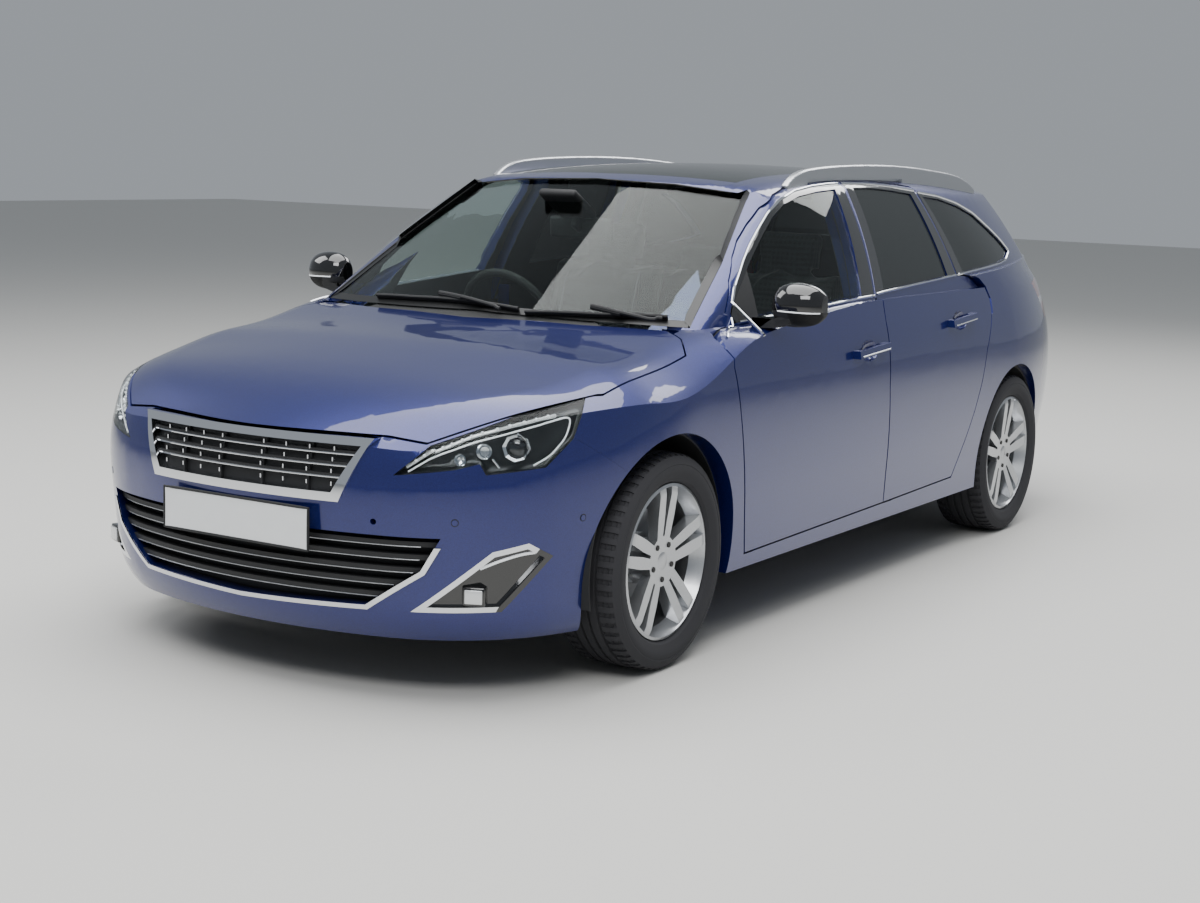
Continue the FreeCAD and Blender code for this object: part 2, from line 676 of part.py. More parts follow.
def make_lamps():
    """Headlamps and fog lamps with their bezels."""
    room = slab(shrunk(HEADLAMP, LAMP_VIEW, SEAT_GAP), LAMP_VIEW, 400)
    lamp = room.common(LOW).cut([lower_body(62, 62, 30), HOOD_ROOM])
    node("headlamps", both_sides(biggest(lamp)))
    fog = slab(shrunk(FOG, LAMP_VIEW, SEAT_GAP), LAMP_VIEW, 300)
    fog = fog.cut(slab(shrunk(FOG, LAMP_VIEW, 15), LAMP_VIEW, 320))
    node("fog_bezels", both_sides(biggest(wall_layer(0, 40, fog))))
    panel = slab(shrunk(FOG, LAMP_VIEW, 15 + SEAT_GAP), LAMP_VIEW, 320)
    node("fog_lamps", both_sides(biggest(wall_layer(10, 34, panel))))


def shrunk(points, direction, distance):
    """Outline in space moved inwards by distance, across direction."""
    along = Vec(*direction)
    along.normalize()
    side = Vec(-along.y, along.x, 0)
    flat = [(Vec(*p).dot(side), p[2]) for p in points]
    depth = sum(Vec(*p).dot(along) for p in points) / len(points)
    out = []
    for u, z in grown(flat, -distance):
        out.append((side.x * u + along.x * depth, side.y * u + along.y * depth, z))
    return out


def make_fenders():
    low_room, high_room = door_room(FRONT_DOOR, SHUT_GAP, DOOR_INNER_X - 6, 592)
    tools = [
        HOOD_ROOM, FRONT_ARCH, FRONT_RELIEF, low_room,
        side_prism(grown(BUMPER_SIDE, SEAT_GAP), 0, 1100),
        slab(shrunk(HEADLAMP, LAMP_VIEW, -SEAT_GAP), LAMP_VIEW, 400),
        box(0, 1100, -2400, -900, 80, 224),
        box(0, 642, -2400, -900, 80, 1300),
        box(0, POST_X[1] + SEAT_GAP, -1120, -900, 80, 1300),
        hood_sweep(),
    ]
    fender = biggest(SHELL.common(side_prism(FENDER_SIDE, 0, 1100)).cut(tools))
    hy, hz = HOOD_HINGE
    fender = fender.fuse(rod((660, hy, hz), (730, hy, hz), 5))
    node("fenders", both_sides(fender))


def make_body_side():
    """Left side of the body: sill, posts, roof side and rear quarter."""
    ty, tz = TAILGATE_HINGE
    rooms = list(door_room(FRONT_DOOR, SHUT_GAP, DOOR_INNER_X - 6, 592))
    rooms += list(door_room(REAR_DOOR, SHUT_GAP, DOOR_INNER_X - 6, 592))
    tools = rooms + [
        side_prism(QUARTER_WINDOW, 400, 1100),
        box(-10, 500 + SEAT_GAP, -600, 1750, 1150, 1500),
        front_prism(whole(WINDSCREEN), -1300, 0),
        box(-10, 640 + SEAT_GAP, -1300, -1010, 850, 1010),
        TAILGATE_ROOM,
        side_prism(grown(REAR_BUMPER_SIDE, SEAT_GAP), 0, 1100),
        side_prism(grown(TAIL_LAMP_SIDE, SEAT_GAP), 480, 1100),
        REAR_ARCH, FRONT_ARCH, FRONT_RELIEF, REAR_RELIEF,
        box(0, 1100, -1100, 1000, 80, 224),
        box(-10, 480, 1600, 2400, 80, 1500),
    ]
    side = biggest(SHELL.common(side_prism(BODY_SIDE, 0, 1100)).cut(tools))
    first, last, outer, inner = SLOPE_BAND
    slope = grown(FRONT_DOOR, outer)[first:last] + grown(FRONT_DOOR, inner)[first:last][::-1]
    band = fused([side_prism(p, 560, 820) for p in POSTS + [slope]])
    band = band.common(cabin_body(CABIN_WALL + 6, 30)).cut(cabin_body(94, 90))
    band = band.cut([
        box(DOOR_INNER_X - 6, 1000, -1300, 1300, 880, 1006),
        box(592, 1000, -1300, 1300, 1300, 1460).cut(cabin_body(CABIN_WALL + 6, ROOF_WALL + 6)),
    ])
    inner = [
        box(POST_X[0], DOOR_INNER_X - 6, -1112, 905, 228, 300),
        box(POST_X[0], POST_X[1], -1112, -920, 228, 954),
        box(POST_X[0], 730, -1071, -985, 938, 954),
        box(690, 740, -10, 130, 228, 960),
        box(690, DOOR_INNER_X - 6, 800, 905, 228, 1010),
    ] + solids(band)
    hx, hy = REAR_HINGE
    frame_sweep = [Vec(hx, hy, 930), Vec(hx + 100, hy, 960), Vec(hx + 98, hy, 1000), Vec(hx + 124, hy, 1120)]
    frame_sweep += [Vec(hx + 125, hy, 1128), Vec(hx, hy, 1134)]
    frame_sweep = spun(frame_sweep, (hx, hy, 0), (0, 0, 1))
    reliefs = [FRONT_ARCH, REAR_ARCH, FRONT_RELIEF, REAR_RELIEF, frame_sweep, hood_sweep()]
    inner = inner[0].fuse(inner[1:]).cut(reliefs)
    side = side.fuse([biggest(inner), rod((518, ty, tz), (566, ty, tz), 5)])
    for hinge in (FRONT_HINGE, REAR_HINGE):
        side = side.fuse([hinge_arm(hinge, z) for z in HINGE_HEIGHTS])
    side = biggest(side)
    node("body_side_left", side)
    node("body_side_right", other_side(side))


def make_roof():
    ty, tz = TAILGATE_HINGE
    lowered = top_solid(ROOF, 400, 7 + SEAT_GAP, ROOF_SKIRT)
    tools = [
        front_prism(whole(WINDSCREEN), -1300, 0),
        plan_prism(whole(ROOF_HOLE), 1100, 1500),
        plan_prism(grown(whole(ROOF_PANE), SEAT_GAP), 1200, 1500).cut(lowered),
        TAILGATE_ROOM,
        box(-600, 600, ty - 15, 2400, 1000, 1500),
    ]
    node("roof", biggest(SHELL.common(plan_prism(whole(ROOF_PLAN), 1150, 1500)).cut(tools)))
    pane = plan_prism(whole(ROOF_PANE), 1200, 1500).common(CABIN)
    node("roof_glass", biggest(pane.cut(top_solid(ROOF, 400, 7, ROOF_SKIRT))))


def make_screens():
    node("windscreen", glass(front_prism(grown(whole(WINDSCREEN), -SEAT_GAP), -1240, 0), 4, 5.5))
    quarter_pane = glass(side_prism(grown(QUARTER_WINDOW, -SEAT_GAP), 500, 960))
    node("quarter_glass", both_sides(quarter_pane))


def make_cowl():
    """Dark tray between hood and windscreen, with the step that carries the windscreen's foot."""
    block = box(-639.7, 639.7, -1300, -1120.3, 880.3, 980)
    step = block.common(green_solid(9)).cut([
        plan_prism(grown(whole(HOOD_PLAN), 14), 850, 1000),
        front_prism(grown(whole(WINDSCREEN), SEAT_GAP), -1400, -1000),
    ])
    tray = block.common(top_solid(DECK, 80, 50)).fuse(step)
    node("cowl", biggest(tray.cut(hood_sweep())))


def make_tailgate():
    ty, tz = TAILGATE_HINGE
    lamp_room = side_prism(grown(TAIL_LAMP_SIDE, SEAT_GAP), 480 - SEAT_GAP, 1100)
    lamp_room = lamp_room.cut(lower_body(30 + SEAT_GAP, 0))
    tools = [
        side_prism(grown(REAR_BUMPER_SIDE, SHUT_GAP), -1100, 1100),
        front_prism(whole(BACK_WINDOW), 1700, 2500),
        lamp_room,
        other_side(lamp_room),
        front_prism(PLATE_RECESS, 2100, 2400).cut(wall_solid(14)),
    ]
    tools += [rod((side * 505, ty, tz), (side * 700, ty, tz), 5 + SEAT_GAP) for side in (1, -1)]
    node("tailgate", biggest(SHELL.common(TAILGATE_REGION).cut(tools)))
    node("back_window", glass(front_prism(grown(whole(BACK_WINDOW), -SEAT_GAP), 1700, 2500)))
    room = side_prism(TAIL_LAMP_SIDE, 480, 1100).common(LOW)
    node("tailgate_lamps", both_sides(biggest(room.common(TAILGATE_REGION).cut(lower_body(30, 0)))))
    node("tail_lamps", both_sides(biggest(room.cut([lower_body(64, 0), TAILGATE_ROOM]))))
    bumper = SHELL.common(side_prism(REAR_BUMPER_SIDE, -1100, 1100))
    node("rear_bumper", biggest(bumper.cut([REAR_ARCH, other_side(REAR_ARCH), TAILGATE_ROOM])))


def make_floor():
    """Cabin floor with firewall and tunnel, load floor with its step, rear wheelhouses, front liners."""
    plates = [
        box(-639.7, 639.7, -1120, 703.7, 230, 246),
        box(-639.7, 639.7, -1136, -1120, 230, 880),
        box(-130, 130, -1120, 703.7, 246, 330),
    ]
    arches = [rod((s * 460, FRONT_AXLE_Y, 322), (s * 900, FRONT_AXLE_Y, 322), 372.3) for s in (1, -1)]
    pads = [box(s * x - 30, s * x + 30, y - 30, y + 30, 206, 231) for x, y in JACK_PADS for s in (1, -1)]
    pan = plates[0].fuse(plates[1:]).cut(arches).fuse(pads)
    node("floor_pan", biggest(pan))
    houses = []
    rooms = []
    for side in (1, -1):
        x0, x1 = sorted((side * HOUSE_X, side * 850))
        house = ring(x0, x1, REAR_AXLE_Y, 320, 362 - SEAT_GAP, 352)
        cover = rod((side * HOUSE_X, REAR_AXLE_Y, 320), (side * (HOUSE_X + 12), REAR_AXLE_Y, 320), 361)
        house = house.fuse(cover)
        houses.append(biggest(house.common(box(-900, 900, 700, 1900, 484, 720))))
        room = rod((side * (HOUSE_X - SEAT_GAP), REAR_AXLE_Y, 320), (side * 900, REAR_AXLE_Y, 320), 362)
        rooms.append(room)
    node("rear_wheelhouses", Part.makeCompound(houses))
    plates = [
        box(-639.7, 639.7, 704, 720, 230, 500),
        box(-639.7, 639.7, 704, 2040, 484, 500),
        box(-560, 560, 2040, 2120, 484, 500),
        box(-560, 560, 2104, 2120, 500, 640),
    ]
    node("load_floor", biggest(plates[0].fuse(plates[1:]).cut(rooms)))
    liners = []
    for side in (1, -1):
        x0, x1 = sorted((side * 478, side * 842))
        liner = ring(x0, x1, FRONT_AXLE_Y, 322, 372 - SEAT_GAP, 367)
        liner = liner.common(box(-1000, 1000, -1900, -900, 236, 720))
        liner = liner.cut([rod((side * 590, FRONT_AXLE_Y, 600), (side * 590, FRONT_AXLE_Y, 800), 66)])
        liners.append(biggest(liner))
    node("wheel_liners", Part.makeCompound(liners))


def caliper(axle_y, toward):
    """Left brake caliper: a short arc of ring over the disc's edge, with the bracket that carries it."""
    inner, outer = DISC["x"]
    block = ring(inner - 22, outer + 22, axle_y, AXLE_Z, CALIPER["outer"], CALIPER["inner"])
    gap = CALIPER["gap"]
    slot = ring(inner - gap, outer + gap, axle_y, AXLE_Z, DISC["radius"] + gap, 60)
    bracket = ring(inner - 22, inner - 8, axle_y, AXLE_Z, CALIPER["inner"] + 8, 30)
    spread = math.tan(math.radians(CALIPER["angle"])) * 300
    far_y = axle_y + toward * 300
    fan = [(axle_y, AXLE_Z), (far_y, AXLE_Z - spread), (far_y, AXLE_Z + spread)]
    return block.cut(slot).fuse(bracket).common(side_prism(fan, 600, 900))


def make_running_gear():
    """Front subframe with arms and struts, rear axle, engine and exhaust, knuckles."""
    rails = []
    for side in (1, -1):
        x0, x1 = sorted((side * 380, side * 450))
        rails.append(box(x0, x1, -2090, -1136.3, 246.3, 316))
        x0, x1 = sorted((side * 440, side * 716))
        for z in (196, 440):
            rails.append(box(x0, x1, FRONT_AXLE_Y - 22, FRONT_AXLE_Y + 22, z, z + 22))
        x0, x1 = sorted((side * 430, side * 470))
        rails.append(box(x0, x1, FRONT_AXLE_Y - 22, FRONT_AXLE_Y + 22, 196, 260))
        rails.append(rod((side * 590, FRONT_AXLE_Y, 200), (side * 590, FRONT_AXLE_Y, 800), 26))
        rails.append(rod((side * 590, FRONT_AXLE_Y, 660), (side * 590, FRONT_AXLE_Y, 800), 58))
        rails.append(rod((side * KINGPIN_X, FRONT_AXLE_Y, 210), (side * KINGPIN_X, FRONT_AXLE_Y, 245), 9))
        rails.append(rod((side * KINGPIN_X, FRONT_AXLE_Y, 410), (side * KINGPIN_X, FRONT_AXLE_Y, 450), 9))
    rails += [box(-420, 420, y, y + 60, 246.3, 316) for y in (-2090, -1900, -1500, -1197)]
    node("front_suspension", fused(rails))
    node("engine_block", box(-300, 300, -1950, -1330, 316.3, 760))
    knuckle = box(KINGPIN_X - 26, KINGPIN_X + 26, FRONT_AXLE_Y - 30, FRONT_AXLE_Y + 30, 218.3, 439.7)
    knuckle = knuckle.fuse(rod((KINGPIN_X, FRONT_AXLE_Y, AXLE_Z), (760, FRONT_AXLE_Y, AXLE_Z), 45))
    knuckle = knuckle.fuse(rod((760, FRONT_AXLE_Y, AXLE_Z), (812, FRONT_AXLE_Y, AXLE_Z), 20))
    for z0, z1 in ((200, 246), (409, 450)):
        bore = rod((KINGPIN_X, FRONT_AXLE_Y, z0), (KINGPIN_X, FRONT_AXLE_Y, z1), 9 + SEAT_GAP)
        knuckle = knuckle.cut(bore)
    knuckle = biggest(knuckle.fuse(caliper(FRONT_AXLE_Y, 1)))
    node("knuckle_left", knuckle)
    node("knuckle_right", other_side(knuckle))
    parts = [rod((-640, REAR_AXLE_Y - 90, 318), (640, REAR_AXLE_Y - 90, 318), 42)]
    for side in (1, -1):
        x0, x1 = sorted((side * 560, side * 640))
        parts.append(box(x0, x1, 860, REAR_AXLE_Y + 60, 280, 350))
        parts.append(box(x0, x1, 800, 870, 280, 483.7))
        parts.append(rod((side * 630, REAR_AXLE_Y, AXLE_Z), (side * 760, REAR_AXLE_Y, AXLE_Z), 45))
        parts.append(rod((side * 760, REAR_AXLE_Y, AXLE_Z), (side * 812, REAR_AXLE_Y, AXLE_Z), 20))
        parts.append(rod((side * 520, REAR_AXLE_Y - 90, 300), (side * 520, REAR_AXLE_Y - 90, 483.7), 50))
    parts += [caliper(REAR_AXLE_Y, -1), other_side(caliper(REAR_AXLE_Y, -1))]
    node("rear_axle", fused(parts))
    pipe = rod((-200, -1080, 190), (-200, 1500, 190), 27)
    pipe = pipe.fuse(box(-420, -150, 1500, 1900, 150, 290))
    pipe = pipe.fuse(rod((-560, 1850, 215), (-560, 1950, 215), 32))
    pipe = pipe.fuse(rod((-560, 1850, 215), (-300, 1850, 215), 27))
    pipe = pipe.fuse(rod((-560, 1940, 220), (-560, 1975, 152), 31))
    for y in (-900, 400):
        pipe = pipe.fuse(box(-215, -185, y, y + 30, 200, 229.7))
    pipe = pipe.fuse(box(-300, -260, 1700, 1740, 280, 483.7))
    node("exhaust", pipe)


def make_wheel(axle_y, end):
    """Left wheel: tyre and twin-spoke rim about its axle, then the right one mirrored."""
    r, b = TYRE_RADIUS, BEAD_RADIUS
    x0, x1 = TYRE_INNER_X, TYRE_OUTER_X
    outline = [
        (x0 + 22, b), (x0 + 2, b + 34), (x0 + 8, r - 22), (x0 + 28, r),
        (x1 - 28, r), (x1 - 8, r - 22), (x1 - 2, b + 34), (x1 - 22, b),
    ]
    tyre = spun([Vec(x, axle_y, AXLE_Z + v) for x, v in outline], (0, axle_y, AXLE_Z), (1, 0, 0))
    t = 9
    barrel = [(x0 + 23, b - SEAT_GAP), (x0 + 23, b - t - 14), (x1 - 60, b - t - 22), (x1 - 18, b - t),
              (x1 - 21.7, b - SEAT_GAP)]
    rim = spun([Vec(x, axle_y, AXLE_Z + v) for x, v in barrel], (0, axle_y, AXLE_Z), (1, 0, 0))
    face = [(x1 - 64, 0), (x1 - 64, b - t - 20), (x1 - 22, b - t - 1), (x1 - 20, b - t - 20), (x1 - 34, 75),
            (x1 - 38, 0)]
    dish = spun([Vec(x, axle_y, AXLE_Z + v) for x, v in face], (0, axle_y, AXLE_Z), (1, 0, 0))
    keep = [rod((x1 - 120, axle_y, AXLE_Z), (x1, axle_y, AXLE_Z), 74)]
    for k in range(5):
        for bend in (-1, 1):
            points = [(bend * 4, 60), (bend * 7, 130), (bend * 18, 226), (bend * 50, 222), (bend * 44, 130),
                      (bend * 34, 60)]
            spoke = [Vec(x1 - 130, axle_y + u, AXLE_Z + v) for u, v in points]
            solid = polygon(spoke).extrude(Vec(130, 0, 0))
            solid.rotate(Vec(0, axle_y, AXLE_Z), Vec(1, 0, 0), 72 * k)
            keep.append(solid)
    spokes = dish.common(fused(keep))
    rim = rim.fuse(spokes).fuse(rod((x1 - 110, axle_y, AXLE_Z), (x1 - 40, axle_y, AXLE_Z), 62))
    inner, outer = DISC["x"]
    disc = [(763, 0), (763, 64), (inner, 64), (inner, DISC["radius"]), (outer, DISC["radius"]), (outer, 76),
            (783, 76), (783, 0)]
    rim = rim.fuse(spun([Vec(x, axle_y, AXLE_Z + v) for x, v in disc], (0, axle_y, AXLE_Z), (1, 0, 0)))
    rim = rim.cut(rod((x1 - 150, axle_y, AXLE_Z), (812.5, axle_y, AXLE_Z), 20 + SEAT_GAP))
    node("tyre_%s_left" % end, tyre)
    node("rim_%s_left" % end, rim)
    node("tyre_%s_right" % end, other_side(tyre))
    node("rim_%s_right" % end, other_side(rim))


def make_cabin():
    """Dashboard, steering wheel and seats."""
    section = [
        (-1119.7, 560), (-1119.7, 915), (-760, 905), (-640, 860), (-640, 780), (-760, 700), (-820, 560),
    ]
    dash = side_prism(section, -638, 638)
    section = [(-960, 246.3), (-960, 560), (-820, 560), (-560, 470), (-300, 430), (-300, 246.3)]
    console = side_prism(section, -109, 109).cut(box(-131, 131, -1120, 720, 200, 330.3))
    node("dashboard", biggest(dash.fuse(console)))
    wheel_x, wheel_y, wheel_z = -360, -480, 880
    axis = Vec(0, 1, 0.45)
    axis.normalize()
    rim = Part.makeTorus(180, 15, Vec(wheel_x, wheel_y, wheel_z), axis)
    hub = rod((wheel_x, wheel_y - 30 * axis.y, wheel_z - 30 * axis.z), (wheel_x, wheel_y, wheel_z), 55)
    column = rod((wheel_x, wheel_y - 260 * axis.y, wheel_z - 260 * axis.z), (wheel_x, wheel_y, wheel_z), 26)
    spoke = box(wheel_x - 175, wheel_x + 175, wheel_y - 22, wheel_y - 8, wheel_z - 22, wheel_z + 12)
    dash.translate(Vec(0, SEAT_GAP, 0))
    node("steering_wheel", biggest(fused([hub, column, spoke, rim]).cut(dash)))
    seats = []
    for side in (1, -1):
        x0, x1 = side * 375 - 260, side * 375 + 260
        base = box(x0 + 40, x1 - 40, -420, 60, 246.3, 400)
        cushion = side_prism([(-470, 400), (-480, 470), (-440, 510), (80, 470), (110, 400)], x0, x1)
        back = [(40, 440), (10, 520), (170, 1060), (230, 1080), (270, 1050), (130, 440)]
        back = side_prism(back, x0 + 10, x1 - 10)
        head = [(200, 1090), (215, 1200), (265, 1240), (320, 1220), (300, 1090)]
        head = side_prism(head, x0 + 140, x1 - 140)
        stem = box(side * 375 - 40, side * 375 + 40, 230, 250, 1040, 1130)
        seats.append(fused([base, cushion, back, head, stem]))
    node("front_seats", Part.makeCompound(seats))
    cushion = [
        (500, 246.3), (462, 430), (480, 540), (540, 575),
        (760, 555), (760, 500.3), (703.7, 500.3), (703.7, 246.3),
    ]
    back = [(740, 500.3), (715, 560), (870, 990), (930, 1020), (985, 1000), (905, 500.3)]
    head = [(900, 990), (912, 1105), (950, 1130), (992, 1105), (975, 985)]
    bench = side_prism(cushion, -620, 620).fuse(side_prism(back, -600, 600))
    bench = bench.fuse([side_prism(head, x - 110, x + 110) for x in (-380, 0, 380)])
    node("rear_seat", biggest(bench.cut(box(-130.3, 130.3, 400, 704, 246, 330.3))))


def make_mirrors():
    """Door mirrors: domed housing with a recess for its glass, on an arm from the door's corner."""
    wires = []
    for x, y, z, ry, rz in MIRROR:
        wire = Part.Wire(Part.Ellipse(Vec(x, y, z), max(ry, rz), min(ry, rz)).toShape())
        wire.rotate(Vec(x, y, z), Vec(0, 1, 0), 90)
        if ry > rz:
            wire.rotate(Vec(x, y, z), Vec(1, 0, 0), 90)
        wires.append(wire)
    head = Part.makeLoft(wires, True, False)
    pane = [(872, 990), (998, 996), (1008, 1030), (985, 1072), (882, 1068), (866, 1040)]
    head = head.cut([box(800, 1100, MIRROR_BACK, -600, 900, 1200), front_prism(pane, MIRROR_BACK - 8, -600)])
    arm = front_prism([(800, 952), (880, 958), (930, 972), (930, 1000), (870, 986), (800, 986)], -830, -768)
    mirror = biggest(head.fuse(arm).cut([lower_body(-SEAT_GAP, -SEAT_GAP), green_solid(-SEAT_GAP)]))
    node("mirror_left", mirror)
    node("mirror_right", other_side(mirror))


def make_outside():
    """Roof rails and number plate."""
    crest = Part.BSplineCurve()
    crest.interpolate([Vec(RAIL_X[0], y, z) for y, z in RAIL])
    start, end = crest.StartPoint, crest.EndPoint
    low_start, low_end = Vec(start.x, start.y, RAIL_BASE_Z), Vec(end.x, end.y, RAIL_BASE_Z)
    foot = [Part.makeLine(end, low_end), Part.makeLine(low_end, low_start), Part.makeLine(low_start, start)]
    rail = Part.Face(Part.Wire([crest.toShape()] + foot)).extrude(Vec(RAIL_X[1] - RAIL_X[0], 0, 0))
    crests = [e for e in rail.Edges if e.BoundBox.XLength < 1 and e.Length > 900 and e.BoundBox.ZMax > 1430]
    rail = rail.makeFillet(RAIL_ROUND, crests)
    step = box(RAIL_STEP[0], RAIL_X[1] + 8, -100, 700, 1300, RAIL_STEP[1])
    node("roof_rails", both_sides(biggest(rail.cut([cabin_body(-SEAT_GAP, -SEAT_GAP), step]))))
    plate = box(-260, 260, -2292.5, -2289, 409, 520).fuse(box(-200, 200, -2290, -2200, 440, 500))
    node("number_plate", biggest(plate.cut(wall_solid(-SEAT_GAP))))


make_door(FRONT_DOOR, FRONT_WINDOW, FRONT_HINGE, "front")
make_door(REAR_DOOR, REAR_WINDOW, REAR_HINGE, "rear")
make_hood()
make_front_bumper()
make_front_face()
make_lamps()
make_fenders()
make_body_side()
make_roof()
make_screens()
make_cowl()
make_tailgate()
make_floor()
make_running_gear()
make_cabin()
make_outside()
make_mirrors()
make_wheel(FRONT_AXLE_Y, "front")
make_wheel(REAR_AXLE_Y, "rear")

os.makedirs("parts", exist_ok=True)
for name, shape in NODES:
    shape.exportStep("parts/%s.step" % name)
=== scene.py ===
"""Looks of the station wagon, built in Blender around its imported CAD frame.

Metres, in the CAD frame: +X is the car's left, +Y its rear, +Z up, and the nose points along -Y.
"""

import json
import logging
import math
from dataclasses import dataclass, field
from enum import Enum

import bmesh
import bpy
from mathutils import Matrix, Vector
from mathutils.bvhtree import BVHTree

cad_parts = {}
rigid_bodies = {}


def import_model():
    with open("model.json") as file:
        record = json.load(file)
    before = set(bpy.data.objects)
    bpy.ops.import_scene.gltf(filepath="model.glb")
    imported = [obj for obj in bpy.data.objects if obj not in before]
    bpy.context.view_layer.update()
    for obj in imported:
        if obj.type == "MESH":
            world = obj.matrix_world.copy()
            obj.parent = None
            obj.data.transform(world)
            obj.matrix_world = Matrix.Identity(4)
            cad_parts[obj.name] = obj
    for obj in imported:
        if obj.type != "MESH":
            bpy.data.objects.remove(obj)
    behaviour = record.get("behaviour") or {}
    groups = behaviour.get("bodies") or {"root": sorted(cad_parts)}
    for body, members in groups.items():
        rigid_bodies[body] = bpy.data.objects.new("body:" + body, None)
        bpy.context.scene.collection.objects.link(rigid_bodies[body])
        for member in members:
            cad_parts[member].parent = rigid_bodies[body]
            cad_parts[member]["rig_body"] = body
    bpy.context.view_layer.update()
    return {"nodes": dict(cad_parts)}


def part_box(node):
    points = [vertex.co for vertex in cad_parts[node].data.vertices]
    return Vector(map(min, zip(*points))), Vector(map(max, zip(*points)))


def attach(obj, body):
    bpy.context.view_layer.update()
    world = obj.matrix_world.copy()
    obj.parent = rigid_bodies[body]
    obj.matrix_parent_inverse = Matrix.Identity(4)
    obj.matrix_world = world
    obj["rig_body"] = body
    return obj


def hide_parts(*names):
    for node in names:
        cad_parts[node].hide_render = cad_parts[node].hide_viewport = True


LOG = logging.getLogger("wagon")
MERGE = 2e-6
BODY = "body"
SIDES = (("left", 1), ("right", -1))


# ---------------------------------------------------------------- finishes


def linear(hex_colour: str) -> tuple[float, float, float, float]:
    """Turn an sRGB hex colour into linear RGBA.

    Args:
        hex_colour: six hex digits.

    Returns:
        Linear red, green, blue and an alpha of one.
    """
    parts = [int(hex_colour[i : i + 2], 16) / 255 for i in (0, 2, 4)]
    parts = [c / 12.92 if c <= 0.04045 else ((c + 0.055) / 1.055) ** 2.4 for c in parts]
    return (parts[0], parts[1], parts[2], 1.0)


def add_node(tree: bpy.types.NodeTree, kind: str, settings: dict, links: dict) -> bpy.types.Node:
    """Add a shader node with its settings and links.

    Args:
        tree: node tree that gets the node.
        kind: node type, such as ShaderNodeTexNoise.
        settings: attribute or input name to value.
        links: input name to the output socket that feeds it.

    Returns:
        The new node.
    """
    node = tree.nodes.new(kind)
    for name, value in settings.items():
        if name in node.inputs.keys():
            node.inputs[name].default_value = value
        elif hasattr(node, name):
            setattr(node, name, value)
        else:
            node.inputs[name].default_value = value
    for name, socket in links.items():
        tree.links.new(socket, node.inputs[name])
    return node


class Grain(Enum):
    """Surface pattern of a finish."""

    SMOOTH = "smooth"
    FLAKE = "flake"
    ORANGE_PEEL = "orange peel"
    MOULDED = "moulded"
    CAST = "cast"
    BRUSHED = "brushed"
    WOVEN = "woven"
    DIRT = "dirt"


